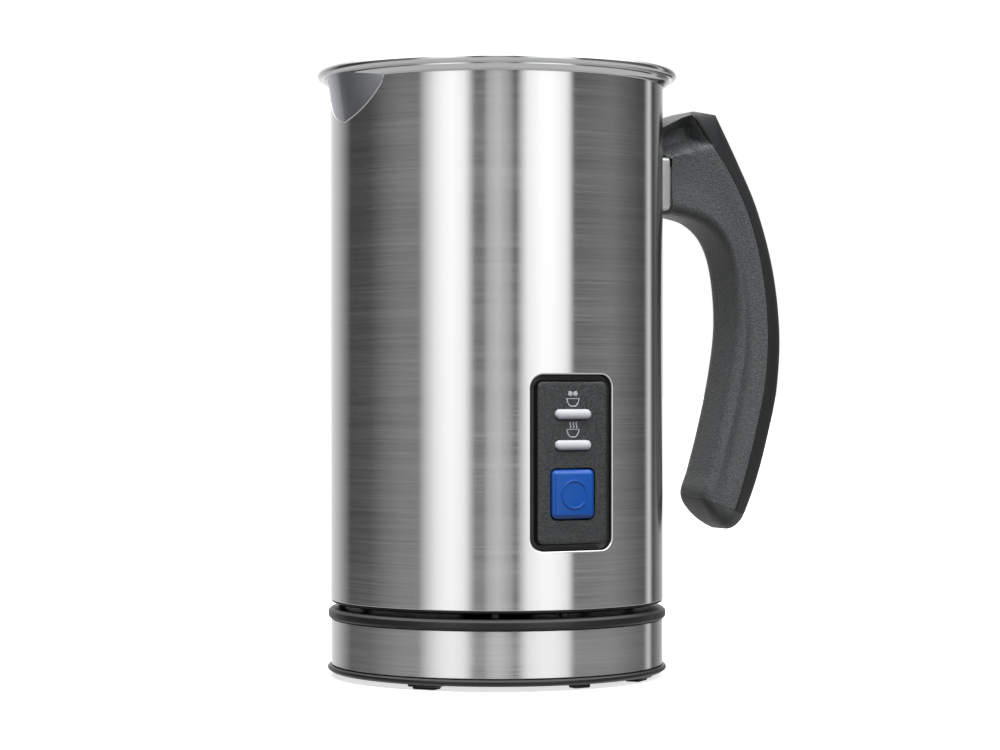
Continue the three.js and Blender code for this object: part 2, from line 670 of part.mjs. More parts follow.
/** Section of the cover: a shallow strip with its outer corners taken off. */
function coverSection(t) {
  const depth = handleDepth(t);
  const low = depth - COVER_T;
  const half = HANDLE_WIDTH / 2;
  return [
    [low, -half], [depth - 3.4, -half], [depth - 1, -half + 1.6], [depth, -half + 5],
    [depth, half - 5], [depth - 1, half - 1.6], [depth - 3.4, half], [low, half],
  ].map(([x, y]) => new THREE.Vector2(x, y));
}

/** Way of the screw that holds the handle, from between the walls into the grip. */
function handleScrewHole() {
  return crossRod(2.2, 'x', 50, 72, 0, (BRACKET.low + BRACKET.high) / 2, SCREW_SIDES);
}

/** Grip, its cover, and the steel bracket and screw that hold it to the shell. */
function handle() {
  const group = new THREE.Group();
  const shellFace = tube(40, BODY_R + GAP, 140, 190, RING);
  const bracketRoom = box(
    [50, -HANDLE_WIDTH, 140],
    [BODY_R + BRACKET.depth + GAP, HANDLE_WIDTH, BRACKET.high + GAP],
  );
  const grip = cut(loft(20, gripSection, alongHandle), handleScrewHole(), shellFace, bracketRoom);
  add(group, 'handle_grip', grip, blackPlastic());
  add(group, 'handle_cover', cut(loft(20, coverSection, alongHandle), shellFace), blackPlastic());
  const half = BRACKET.width / 2;
  const block = box([50, -half, BRACKET.low], [BODY_R + BRACKET.depth, half, BRACKET.high]);
  add(group, 'handle_bracket', cut(block, shellFace, handleScrewHole()), brushedSteel());
  const middle = (BRACKET.low + BRACKET.high) / 2;
  const head = crossRod(3.6, 'x', 50.6, 52.9, 0, middle, SCREW_SIDES);
  const shank = crossRod(1.9, 'x', 52, 71.5, 0, middle, SCREW_SIDES);
  add(group, 'handle_screw', join(head, shank), zincSteel());
  return group;
}

// ---------------------------------------------------------------- lid and whisk

/** Clear lid with a soft seal and a knob, which lifts out of the mouth. */
function lid() {
  const group = new THREE.Group();
  const panel = [
    [3.2, LID_Z + 1.6], [20, LID_Z + 1.2], [44, LID_Z], [46.4, LID_Z - 0.6], [46.4, 177], [LID_R, 177],
    [LID_R, 182.6], [46, LID_Z + 2.6], [20, 184.6], [3.2, 184.9],
  ];
  add(group, 'lid_panel', turned(panel), clearPlastic());
  const seal = [
    [LID_R + GAP, 178.2], [50.4, 177.6], [51.7, 178.4], [50.6, 179.4], [51.7, 180.6], [50.4, 181.6],
    [LID_R + GAP, 181.6],
  ];
  add(group, 'lid_seal', turned(seal), silicone());
  const knob = [
    [0, 179.8], [5.6, 179.8], [5.6, 182], [2.9, 182], [2.9, 185.2], [8, 185.2], [9, 188], [12, 191.4],
    [12.2, 192.8], [11.2, KNOB_TOP - 0.3], [9, KNOB_TOP], [0, KNOB_TOP],
  ];
  add(group, 'lid_knob', turned(knob, MEDIUM), blackPlastic());
  return group;
}

/** Whisk: a hub on the drive shaft, a three-armed frame and the sprung coil round it. */
function whisk() {
  const group = new THREE.Group();
  group.position.set(0, 0, WHISK.z);
  const bore = SHAFT_TOP - WHISK.z + GAP;
  const hub = [
    [2.9, 0], [5, 0], [5, 5], [4, 12], [4, 15.6], [5.4, 16.6], [5.4, 18], [4.4, 18.8], [0, 18.8],
    [0, bore], [2.9, bore],
  ];
  add(group, 'whisk_hub', turned(hub, SMALL), blackPlastic());
  const ringR = WHISK.ring - WHISK.tube - 1.4;
  const arms = THIRDS.map((angle) => {
    const arm = box([5.6, -0.8, 2.4], [ringR, 0.8, 4.4]);
    return arm.rotateZ(THREE.MathUtils.degToRad(angle));
  });
  const frame = join(tube(5.3, 6.6, 1.2, 5, SMALL), tube(ringR - 1, ringR + 1, 2.4, 4.4, MEDIUM), ...arms);
  add(group, 'whisk_frame', frame, polishedSteel());
  const coil = new THREE.TorusGeometry(WHISK.ring, WHISK.tube, 8, MEDIUM);
  add(group, 'whisk_coil', coil.translate(0, 0, 3.4), polishedSteel());
  return group;
}

// ---------------------------------------------------------------- the whole frother

const frother = new THREE.Group();
frother.add(base(), socket(), jugBody(), driveUnit(), rotor());
frother.add(controls(), button(), handle(), lid(), whisk());

export default frother;
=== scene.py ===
"""Looks of the milk frother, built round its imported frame.

Sizes are in millimetres unless a name or a docstring says otherwise.
"""

import json
import logging
import math
from abc import ABC, abstractmethod
from dataclasses import dataclass, field
from enum import Enum
from typing import Any, Callable, Iterable, Sequence

import bmesh
import bpy
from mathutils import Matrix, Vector

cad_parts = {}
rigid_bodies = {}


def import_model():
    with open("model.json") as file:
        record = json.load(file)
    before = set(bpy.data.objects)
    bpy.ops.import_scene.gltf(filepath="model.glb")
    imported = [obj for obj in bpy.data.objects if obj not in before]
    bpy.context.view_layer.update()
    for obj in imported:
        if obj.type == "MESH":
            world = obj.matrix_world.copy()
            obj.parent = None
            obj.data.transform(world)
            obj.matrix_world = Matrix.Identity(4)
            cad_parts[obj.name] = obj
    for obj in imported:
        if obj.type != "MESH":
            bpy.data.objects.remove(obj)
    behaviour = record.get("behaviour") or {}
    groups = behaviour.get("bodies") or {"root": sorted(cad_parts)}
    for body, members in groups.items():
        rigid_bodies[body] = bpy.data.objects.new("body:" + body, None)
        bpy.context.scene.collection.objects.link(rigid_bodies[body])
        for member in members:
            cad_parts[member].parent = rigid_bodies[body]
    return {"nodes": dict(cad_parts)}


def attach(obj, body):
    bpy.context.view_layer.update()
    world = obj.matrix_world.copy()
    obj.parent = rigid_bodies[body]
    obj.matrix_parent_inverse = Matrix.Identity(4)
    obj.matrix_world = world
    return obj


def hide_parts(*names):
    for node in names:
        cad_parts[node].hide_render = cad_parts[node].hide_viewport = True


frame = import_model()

Flat = tuple[float, float]
Point = tuple[float, float, float]
Colour = tuple[float, float, float]
Object = bpy.types.Object

MM = 0.001
ROUND = 192  # sides of the large round pieces
SMALL_ROUND = 64  # sides of the plug and the socket
SHARP = math.radians(34)  # edges that turn by more stay sharp

log = logging.getLogger("frother")


class Body(Enum):
    """The moving bodies of the frame."""

    BASE = "base"
    SOCKET = "socket"
    JUG = "jug"
    ROTOR = "rotor"
    WHISK = "whisk"
    BUTTON = "button"
    LID = "lid"


class Slot(Enum):
    """The record's material slots."""

    BRUSHED = "brushed_steel"
    POLISHED = "polished_steel"
    ZINC = "zinc_steel"
    BLACK = "black_plastic"
    BLUE = "blue_plastic"
    RUBBER = "rubber"
    SILICONE = "silicone"
    BRASS = "brass"
    ALUMINIUM = "aluminium"
    MAGNET = "magnet"
    LENS = "light_lens"
    CLEAR = "clear_plastic"


class Facing(Enum):
    """The direction in which a stack of outlines grows."""

    FRONT = "front"
    SIDE = "side"
    UP = "up"


# ---------------------------------------------------------------- outlines and meshes


def mix(low: float, high: float, share: float) -> float:
    """Returns the number at a share of the way from low to high."""
    return low + (high - low) * share


def smooth(value: float, low: float, high: float) -> float:
    """Smooth step between two limits.

    Args:
        value: The number that is looked at.
        low: Where the step starts.
        high: Where it ends.

    Returns:
        0 before the step, 1 after it.
    """
    share = min(max((value - low) / (high - low), 0.0), 1.0)
    return share * share * (3 - 2 * share)


def polar(radius: float, degrees: float, height: float = 0.0) -> Point:
    """Returns a point at a radius and an angle from +X."""
    angle = math.radians(degrees)
    return (radius * math.cos(angle), radius * math.sin(angle), height)


def eased(corners: Sequence[Sequence[float]], radius: float = 0.0, steps: int = 4) -> list[Flat]:
    """Rounds the corners of a closed outline.

    Args:
        corners: Points of two numbers, or of three where a corner has its own radius.
        radius: Radius of the other corners.
        steps: Parts of each rounded corner.

    Returns:
        The outline's points.
    """
    outline: list[Flat] = []
    for i, corner in enumerate(corners):
        point = Vector(corner[:2])
        wanted = corner[2] if len(corner) > 2 else radius
        before = Vector(corners[i - 1][:2]) - point
        after = Vector(corners[(i + 1) % len(corners)][:2]) - point
        angle = before.angle(after)
        if wanted <= 0 or point.x < 1e-6 or angle > math.pi - 0.05:
            outline.append((point.x, point.y))
            continue
        reach = min(wanted / math.tan(angle / 2), before.length * 0.48, after.length * 0.48)
        start, end = point + before.normalized() * reach, point + after.normalized() * reach
        for step in range(steps + 1):
            t = step / steps
            at = start * (1 - t) ** 2 + point * (2 * t * (1 - t)) + end * t * t
            outline.append((at.x, at.y))
    return outline


def spline(points: Sequence[Flat], t: float, corners: Sequence[int] = ()) -> Vector:
    """Point of a smooth curve through flat points.

    Args:
        points: The points that the curve passes.
        t: Share of the way, from 0 to 1.
        corners: Numbers of the points where the curve has a corner.

    Returns:
        The flat point there.
    """
    place = min(max(t, 0.0), 1.0) * (len(points) - 1)
    i = min(int(place), len(points) - 2)
    w = place - i
    last = len(points) - 1
    a, b, c, d = (Vector(points[min(max(k, 0), last)]) for k in (i - 1, i, i + 1, i + 2))
    slope_b = c - b if i in corners else (c - a) * 0.5
    slope_c = c - b if i + 1 in corners else (d - b) * 0.5
    cube = (b - c) * 2 + slope_b + slope_c
    square = (c - b) * 3 - slope_b * 2 - slope_c
    return cube * w**3 + square * w**2 + slope_b * w + b


@dataclass(frozen=True)
class RoundedRect:
    """A rectangle with round corners, in X and Z."""

    width: float
    height: float
    radius: float
    middle_x: float = 0.0
    middle_z: float = 0.0

    def outline(self, margin: float = 0.0, parts: int = 10) -> list[Flat]:
        """Points of the outline.

        Args:
            margin: How far it is grown, or shrunk where it is negative.
            parts: Parts of each corner.

        Returns:
            Points that run counter-clockwise from the lower right corner.
        """
        half_x, half_z = self.width / 2 + margin, self.height / 2 + margin
        radius = min(max(self.radius + margin, 0.02), half_x - 0.001, half_z - 0.001)
        points: list[Flat] = []
        for corner, (side_x, side_z) in enumerate(((1, -1), (1, 1), (-1, 1), (-1, -1))):
            start = math.radians(-90 + 90 * corner)
            for part in range(parts + 1):
                angle = start + math.pi / 2 * part / parts
                x = self.middle_x + side_x * (half_x - radius) + radius * math.cos(angle)
                z = self.middle_z + side_z * (half_z - radius) + radius * math.sin(angle)
                points.append((x, z))
        return points


class Blank:
    """A mesh in millimetres that is added to until it becomes a piece."""

    def __init__(self) -> None:
        """Starts with nothing."""
        self.points: list[Point] = []
        self.faces: list[tuple[int, ...]] = []

    def row(self, points: Iterable[Point]) -> list[int]:
        """Adds points.

        Args:
            points: The points.

        Returns:
            Their numbers.
        """
        start = len(self.points)
        self.points.extend(points)
        return list(range(start, len(self.points)))

    def band(self, low: Sequence[int], high: Sequence[int]) -> None:
        """Joins two closed rows of points, one of which may be a single point.

        Args:
            low: The first row.
            high: The second row.
        """
        count = max(len(low), len(high))
        for i in range(count):
            j = (i + 1) % count
            if len(low) == 1:
                self.faces.append((low[0], high[j], high[i]))
            elif len(high) == 1:
                self.faces.append((low[i], low[j], high[0]))
            else:
                self.faces.append((low[i], low[j], high[j], high[i]))

    def turn(self, outline: Sequence[Flat], sides: int = ROUND) -> "Blank":
        """Turns a closed outline of radius and height round the Z axis.

        Args:
            outline: The outline's points.
            sides: Sides of the round.

        Returns:
            This blank.
        """
        rows = []
        for radius, height in outline:
            if radius < 1e-6:
                rows.append(self.row([(0.0, 0.0, height)]))
            else:
                rows.append(self.row(polar(radius, 360 * i / sides, height) for i in range(sides)))
        for low, high in zip(rows, rows[1:] + rows[:1]):
            if len(low) > 1 or len(high) > 1:
                self.band(low, high)
        return self

    def rows(self, rows: Sequence[Sequence[Point]]) -> "Blank":
        """Joins closed rows of points one after another and closes both ends.

        Args:
            rows: Rows with the same number of points.

        Returns:
            This blank.
        """
        made = [self.row(points) for points in rows]
        for low, high in zip(made, made[1:]):
            self.band(low, high)
        self.faces.append(tuple(made[0]))
        self.faces.append(tuple(made[-1]))
        return self

    def stack(
        self,
        shape: RoundedRect,
        levels: Sequence[Flat],
        facing: Facing = Facing.FRONT,
        parts: int = 10,
    ) -> "Blank":
        """Stacks outlines of one shape, each grown by its own margin.

        Args:
            shape: The shape.
            levels: The margin and the depth of each outline, from back to front.
            facing: The direction of the depths.
            parts: Parts of each corner.

        Returns:
            This blank.
        """
        place: dict[Facing, Callable[[float, float, float], Point]] = {
            Facing.FRONT: lambda x, z, depth: (x, depth, z),
            Facing.SIDE: lambda x, z, depth: (depth, x, z),
            Facing.UP: lambda x, z, depth: (x, z, depth),
        }
        rows = []
        for margin, depth in levels:
            rows.append([place[facing](x, z, depth) for x, z in shape.outline(margin, parts)])
        return self.rows(rows)

    def moved(self, place: Callable[[Point], Point]) -> "Blank":
        """Puts every point elsewhere and returns this blank."""
        self.points = [place(point) for point in self.points]
        return self

    def piece(self, name: str, sharp: float = SHARP) -> Object:
        """Makes the object.

        Args:
            name: The object's name.
            sharp: Edges that turn by more than this many radians stay sharp.

        Returns:
            The object, with its faces outwards.
        """
        mesh = bpy.data.meshes.new(name)
        mesh.from_pydata([Vector(point) * MM for point in self.points], [], self.faces)
        piece = bpy.data.objects.new(name, mesh)
        bpy.context.scene.collection.objects.link(piece)
        clean(piece, sharp)
        return piece


def clean(piece: Object, sharp: float = SHARP) -> None:
    """Merges doubled points, turns faces outwards and shades the piece.

    Args:
        piece: The piece.
        sharp: Edges that turn by more than this many radians stay sharp.
    """
    work = bmesh.new()
    work.from_mesh(piece.data)
    bmesh.ops.remove_doubles(work, verts=work.verts, dist=2e-7)
    bmesh.ops.dissolve_degenerate(work, edges=work.edges, dist=1e-7)
    bmesh.ops.recalc_face_normals(work, faces=work.faces)
    work.to_mesh(piece.data)
    work.free()
    piece.data.shade_smooth()
    piece.data.set_sharp_from_angle(angle=sharp)


def carve(piece: Object, *cutters: Object) -> Object:
    """Takes closed shapes out of a piece and deletes them.

    Args:
        piece: The piece.
        cutters: What is taken out.

    Returns:
        The piece.
    """
    for cutter in cutters:
        modifier = piece.modifiers.new("cut", "BOOLEAN")
        modifier.operation = "DIFFERENCE"
        modifier.solver = "EXACT"
        modifier.object = cutter
    settled = piece.evaluated_get(bpy.context.evaluated_depsgraph_get())
    mesh = bpy.data.meshes.new_from_object(settled)
    piece.modifiers.clear()
    old = piece.data
    piece.data = mesh
    bpy.data.meshes.remove(old)
    for cutter in cutters:
        bpy.data.objects.remove(cutter)
    clean(piece)
    return piece


def round_shading(piece: Object) -> None:
    """Gives the upright round walls of a piece normals that point straight from the axis.

    Args:
        piece: A piece about the Z axis.
    """
    mesh = piece.data
    normals = [Vector(corner.vector) for corner in mesh.corner_normals]
    for face in mesh.polygons:
        centre = Vector((face.center.x, face.center.y, 0)).normalized()
        facing = face.normal.dot(centre)
        if abs(face.normal.z) > 0.02 or abs(facing) < 0.97:
            continue
        for loop in face.loop_indices:
            at = mesh.vertices[mesh.loops[loop].vertex_index].co
            normals[loop] = Vector((at.x, at.y, 0)).normalized() * math.copysign(1, facing)
    mesh.normals_split_custom_set(normals)


def rod(name: str, radius: float, start: Point, end: Point, sides: int = 48) -> Object:
    """Round bar between two points, which is used to cut holes.

    Args:
        name: The object's name.
        radius: Its radius.
        start: One end.
        end: The other end.
        sides: Sides of the round.

    Returns:
        The bar.
    """
    axis = Vector(end) - Vector(start)
    turn = axis.to_track_quat("Z", "Y").to_matrix()
    blank = Blank().turn([(0, 0), (radius, 0), (radius, axis.length), (0, axis.length)], sides)
    blank.moved(lambda p: tuple(turn @ Vector(p) + Vector(start)))
    return blank.piece(name)


def drill(name: str, radius: float, circle: float, angles: Sequence[float], span: Flat) -> list[Object]:
    """Upright bars on a circle, which cut the holes for screws.

    Args:
        name: Start of their names.
        radius: Radius of each bar.
        circle: Radius of the circle that they stand on.
        angles: The angle of each bar from +X, in degrees.
        span: Their lower and upper ends.

    Returns:
        The bars.
    """
    low, high = span
    return [
        rod(f"{name}_{i}", radius, polar(circle, angle, low), polar(circle, angle, high))
        for i, angle in enumerate(angles)
    ]


# ---------------------------------------------------------------- node trees


class Value:
    """A socket that can stand in a sum."""

    def __init__(self, graph: "Graph", socket: bpy.types.NodeSocket) -> None:
        """Keeps the socket and the tree that it is in."""
        self.graph = graph
        self.socket = socket

    def work(self, operation: str, other: Any = None, swapped: bool = False) -> "Value":
        """Adds a Math node.

        Args:
            operation: The node's operation.
            other: The second value, if there is one.
            swapped: Whether the other value comes first.

        Returns:
            The result.
        """
        values = [self] if other is None else [other, self] if swapped else [self, other]
        node = self.graph.node("ShaderNodeMath", {"operation": operation}, dict(enumerate(values)))
        return Value(self.graph, node.outputs[0])

    def __add__(self, other: Any) -> "Value":
        """Sum."""
        return self.work("ADD", other)

    def __radd__(self, other: Any) -> "Value":
        """Sum."""
        return self.work("ADD", other, True)

    def __sub__(self, other: Any) -> "Value":
        """Difference."""
        return self.work("SUBTRACT", other)

    def __rsub__(self, other: Any) -> "Value":
        """Difference, the other way round."""
        return self.work("SUBTRACT", other, True)

    def __mul__(self, other: Any) -> "Value":
        """Product."""
        return self.work("MULTIPLY", other)

    def __rmul__(self, other: Any) -> "Value":
        """Product."""
        return self.work("MULTIPLY", other, True)

    def __truediv__(self, other: Any) -> "Value":
        """Quotient."""
        return self.work("DIVIDE", other)

    def __rtruediv__(self, other: Any) -> "Value":
        """Quotient, the other way round."""
        return self.work("DIVIDE", other, True)

    def __pow__(self, other: Any) -> "Value":
        """Power."""
        return self.work("POWER", other)

    def step(self, low: float, high: float) -> "Value":
        """Smooth step of this value.

        Args:
            low: Where the step starts.
            high: Where it ends.

        Returns:
            A value from 0 to 1.
        """
        settings = {"interpolation_type": "SMOOTHSTEP"}
        inputs = {"Value": self, "From Min": low, "From Max": high}
        node = self.graph.node("ShaderNodeMapRange", settings, inputs)
        return Value(self.graph, node.outputs["Result"])


class Graph:
    """A node tree, and the one way in which nodes are put in it."""

    def __init__(self, tree: bpy.types.NodeTree) -> None:
        """Keeps the tree."""
        self.tree = tree

    def node(
        self,
        kind: str,
        settings: dict[str, Any] | None = None,
        inputs: dict[str | int, Any] | None = None,
    ) -> bpy.types.Node:
        """Adds a node.

        Args:
            kind: The node's type.
            settings: What is set on the node first; "stops" are a ramp's places and values.
            inputs: Values or links of its sockets.

        Returns:
            The node.
        """
        node = self.tree.nodes.new(kind)
        for key, value in (settings or {}).items():
            if key == "stops":
                self._stops(node.color_ramp, value)
            else:
                setattr(node, key, value)
        for key, value in (inputs or {}).items():
            value = value.socket if isinstance(value, Value) else value
            if isinstance(value, bpy.types.NodeSocket):
                self.tree.links.new(value, node.inputs[key])
            else:
                node.inputs[key].default_value = value
        return node

    def value(self, node: bpy.types.Node, output: str | int = 0) -> Value:
        """Returns a node's output as a value."""
        return Value(self, node.outputs[output])

    @staticmethod
    def _stops(ramp: bpy.types.ColorRamp, stops: Sequence[Flat]) -> None:
        """Sets a ramp's stops.

        Args:
            ramp: The ramp.
            stops: The place and the grey value of each stop, in order.
        """
        ramp.interpolation = "LINEAR"
        while len(ramp.elements) > 1:
            ramp.elements.remove(ramp.elements[-1])
        for i, (place, grey) in enumerate(stops):
            element = ramp.elements[0] if i == 0 else ramp.elements.new(place)
            element.position = place
            element.color = (grey, grey, grey, 1)

    def place(self, scale: Point) -> Value:
        """Object coordinates, scaled.

        Args:
            scale: The scale along each axis.

        Returns:
            The coordinates.
        """
        coords = self.node("ShaderNodeTexCoord")
        inputs = {"Vector": coords.outputs["Object"], "Scale": scale}
        return self.value(self.node("ShaderNodeMapping", {}, inputs))

    def noise(self, scale: Point, size: float = 1.0, detail: float = 3.0, rough: float = 0.5) -> Value:
        """Noise on object coordinates.

        Args:
            scale: The scale along each axis.
            size: The texture's own scale.
            detail: Its octaves.
            rough: The strength of the finer octaves.

        Returns:
            A value from 0 to 1.
        """
        inputs = {"Vector": self.place(scale), "Scale": size, "Detail": detail, "Roughness": rough}
        return self.value(self.node("ShaderNodeTexNoise", {}, inputs))

    def blend(self, share: Value, low: Colour, high: Colour) -> Value:
        """Mixes two colours.

        Args:
            share: How much of the second there is.
            low: The first colour.
            high: The second colour.

        Returns:
            The mixed colour.
        """
        inputs = {0: share, 6: (*low, 1.0), 7: (*high, 1.0)}
        return self.value(self.node("ShaderNodeMix", {"data_type": "RGBA"}, inputs), 2)

    def bump(self, height: Value, depth: float, strength: float = 1.0) -> Value:
        """Turns a height into a normal.

        Args:
            height: The height, from 0 to 1.
            depth: The depth of the relief in millimetres.
            strength: The share of it that is used.

        Returns:
            The normal.
        """
        inputs = {"Height": height, "Distance": depth * MM, "Strength": strength}
        return self.value(self.node("ShaderNodeBump", {}, inputs))


class Pattern(ABC):
    """A geometry node tree with named inputs, which is run on a mesh of points or paths."""

    title: str = "pattern"

    def __init__(self) -> None:
        """Builds the tree."""
        self.tree = bpy.data.node_groups.new(self.title, "GeometryNodeTree")
        self.graph = Graph(self.tree)
        face = self.tree.interface
        face.new_socket("Geometry", in_out="INPUT", socket_type="NodeSocketGeometry")
        face.new_socket("Geometry", in_out="OUTPUT", socket_type="NodeSocketGeometry")
        self.ids: dict[str, str] = {}
        for name, kind in self.inputs().items():
            socket = face.new_socket(name, in_out="INPUT", socket_type=kind)
            self.ids[name] = socket.identifier
        self.entry = self.graph.node("NodeGroupInput")
        shape = self.build()
        real = self.graph.node("GeometryNodeRealizeInstances", {}, {"Geometry": shape})
        inputs = {"Geometry": real.outputs[0], "Material": self.entry.outputs["Material"]}
        dressed = self.graph.node("GeometryNodeSetMaterial", {}, inputs)
        self.graph.node("NodeGroupOutput", {}, {"Geometry": dressed.outputs[0]})

    @abstractmethod
    def inputs(self) -> dict[str, str]:
        """Returns the names and the socket types of the inputs."""

    @abstractmethod
    def build(self) -> bpy.types.NodeSocket:
        """Adds the nodes and returns the socket with the shape."""

    def run(
        self,
        name: str,
        points: Sequence[Point],
        edges: Sequence[tuple[int, int]],
        sharp: float = SHARP,
        **values: Any,
    ) -> Object:
        """Runs the tree and makes its result a plain mesh.

        Args:
            name: The piece's name.
            points: The mesh's points.
            edges: Its edges.
            sharp: Edges that turn by more than this many radians stay sharp.
            values: The inputs, by name, with _ for a space.

        Returns:
            The piece.
        """
        mesh = bpy.data.meshes.new(name + "_path")
        mesh.from_pydata([Vector(point) * MM for point in points], list(edges), [])
        source = bpy.data.objects.new(name + "_path", mesh)
        bpy.context.scene.collection.objects.link(source)
        modifier = source.modifiers.new(self.title, "NODES")
        modifier.node_group = self.tree
        for key, value in values.items():
            modifier[self.ids[key.replace("_", " ")]] = value
        settled = source.evaluated_get(bpy.context.evaluated_depsgraph_get())
        made = bpy.data.meshes.new_from_object(settled)
        source.modifiers.clear()
        bpy.data.objects.remove(source)
        piece = bpy.data.objects.new(name, made)
        bpy.context.scene.collection.objects.link(piece)
        clean(piece, sharp)
        return piece


class RoundPattern(Pattern):
    """Repeats a piece at the points of a mesh, each copy turned to face away from the axis."""

    title = "round_pattern"

    def inputs(self) -> dict[str, str]:
        """Returns the inputs."""
        return {"Piece": "NodeSocketObject", "Material": "NodeSocketMaterial"}

    def build(self) -> bpy.types.NodeSocket:
        """Returns the copies."""
        graph = self.graph
        spot = graph.node("GeometryNodeInputPosition")
        parts = graph.node("ShaderNodeSeparateXYZ", {}, {0: spot.outputs[0]})
        angle = graph.value(parts, 1).work("ARCTAN2", graph.value(parts, 0))
        turn = graph.node("ShaderNodeCombineXYZ", {}, {2: angle})
        turn = graph.node("FunctionNodeEulerToRotation", {}, {0: turn.outputs[0]})
        one = graph.node("GeometryNodeObjectInfo", {}, {"Object": self.entry.outputs["Piece"]})
        inputs = {
            "Points": self.entry.outputs["Geometry"],
            "Instance": one.outputs["Geometry"],
            "Rotation": turn.outputs[0],
        }
        return graph.node("GeometryNodeInstanceOnPoints", {}, inputs).outputs[0]

    def copies(self, name: str, one: Object, spots: Sequence[Point], finish: "Finish") -> Object:
        """Repeats a piece and deletes the one that it was made from.

        Args:
            name: The new piece's name.
            one: The piece, made as if it stood on the X axis with its place at the origin.
            spots: Where the copies go.
            finish: The finish.

        Returns:
            The copies as one piece.
        """
        made = self.run(name, spots, [], Piece=one, Material=finish.material())
        bpy.data.objects.remove(one)
        return made


class Sweep(Pattern):
    """Runs a round wire along the edges of a mesh."""

    title = "sweep"

    def inputs(self) -> dict[str, str]:
        """Returns the inputs."""
        return {
            "Radius": "NodeSocketFloat",
            "Sides": "NodeSocketInt",
            "Material": "NodeSocketMaterial",
        }

    def build(self) -> bpy.types.NodeSocket:
        """Returns the wires."""
        graph = self.graph
        curve = graph.node("GeometryNodeMeshToCurve", {}, {0: self.entry.outputs["Geometry"]})
        inputs = {"Resolution": self.entry.outputs["Sides"], "Radius": self.entry.outputs["Radius"]}
        ring = graph.node("GeometryNodeCurvePrimitiveCircle", {}, inputs)
        inputs = {0: curve.outputs[0], "Profile Curve": ring.outputs[0], "Fill Caps": True}
        return graph.node("GeometryNodeCurveToMesh", {}, inputs).outputs[0]


class CoilRing(Pattern):
    """Winds a spring of wire round a ring."""

    title = "coil_ring"

    def inputs(self) -> dict[str, str]:
        """Returns the inputs."""
        return {
            "Ring": "NodeSocketFloat",
            "Coil": "NodeSocketFloat",
            "Wire": "NodeSocketFloat",
            "Height": "NodeSocketFloat",
            "Turns": "NodeSocketInt",
            "Points": "NodeSocketInt",
            "Material": "NodeSocketMaterial",
        }

    def build(self) -> bpy.types.NodeSocket:
        """Returns the spring."""
        graph = self.graph
        size = {name: graph.value(self.entry, name) for name in self.ids if name != "Material"}
        circle = graph.node("GeometryNodeCurvePrimitiveCircle", {}, {"Resolution": size["Points"]})
        index = graph.value(graph.node("GeometryNodeInputIndex"))
        along = index / size["Points"] * math.tau
        around = along * size["Turns"]
        radius = size["Ring"] + size["Coil"] * around.work("COSINE")
        height = size["Height"] + size["Coil"] * around.work("SINE")
        inputs = {0: radius * along.work("COSINE"), 1: radius * along.work("SINE"), 2: height}
        spot = graph.node("ShaderNodeCombineXYZ", {}, inputs)
        inputs = {"Geometry": circle.outputs[0], "Position": spot.outputs[0]}
        placed = graph.node("GeometryNodeSetPosition", {}, inputs)
        wire = graph.node(
            "GeometryNodeCurvePrimitiveCircle", {}, {"Resolution": 8, "Radius": size["Wire"]}
        )
        inputs = {0: placed.outputs[0], "Profile Curve": wire.outputs[0]}
        return graph.node("GeometryNodeCurveToMesh", {}, inputs).outputs[0]


def chain(points: Sequence[Point], closed: bool = False) -> list[tuple[int, int]]:
    """Returns the edges that join points in order."""
    edges = [(i, i + 1) for i in range(len(points) - 1)]
    return edges + [(len(points) - 1, 0)] if closed else edges


# ---------------------------------------------------------------- finishes


@dataclass(frozen=True)
class Finish(ABC):
    """A finish of a surface."""

    name: str
    colour: Colour
    roughness: float

    def material(self) -> bpy.types.Material:
        """Returns the finish's material, which is made once."""
        found = bpy.data.materials.get(self.name)
        if found:
            return found
        made = bpy.data.materials.new(self.name)
        made.use_nodes = True
        made.diffuse_color = (*self.colour, 1)
        made.node_tree.nodes.clear()
        graph = Graph(made.node_tree)
        shader = graph.node("ShaderNodeBsdfPrincipled", {}, self.surface(graph))
        graph.node("ShaderNodeOutputMaterial", {}, {"Surface": shader.outputs[0]})
        return made

    @abstractmethod
    def surface(self, graph: Graph) -> dict[str | int, Any]:
        """Returns the values and links of the shader's sockets."""

    def shade(self, factor: float) -> Colour:
        """Returns the colour, lighter or darker by a factor."""
        return tuple(channel * factor for channel in self.colour)


@dataclass(frozen=True)
class BrushedMetal(Finish):
    """Sheet brushed along its length, with fine lines that run round the piece."""

    contrast: float = 0.025
    lines: float = 3200.0
    relief: float = 0.0015
    stretch: float = 1.0

    def surface(self, graph: Graph) -> dict[str | int, Any]:
        """Brushing in the colour, the roughness and the relief.

        Args:
            graph: The material's tree.

        Returns:
            The values and links of the shader's sockets.
        """
        fine = graph.noise((26, 26, self.lines), detail=4, rough=0.62)
        broad = graph.noise((5, 5, self.lines / 14), detail=2)
        cloud = graph.noise((9, 9, 6), detail=2)
        streak = fine * 0.72 + broad * 0.28
        worn = streak * 0.8 + cloud * 0.2
        roughness = worn.step(0.3, 0.7) * 0.09 + (self.roughness - 0.045)
        colour = graph.blend(
            worn.step(0.25, 0.75), self.shade(1 - self.contrast), self.shade(1 + self.contrast)
        )
        return {
            "Base Color": colour,
            "Metallic": 1.0,
            "Roughness": roughness,
            "Anisotropic": self.stretch,
            "Anisotropic Rotation": 0.25,
            "Normal": graph.bump(streak, self.relief),
        }


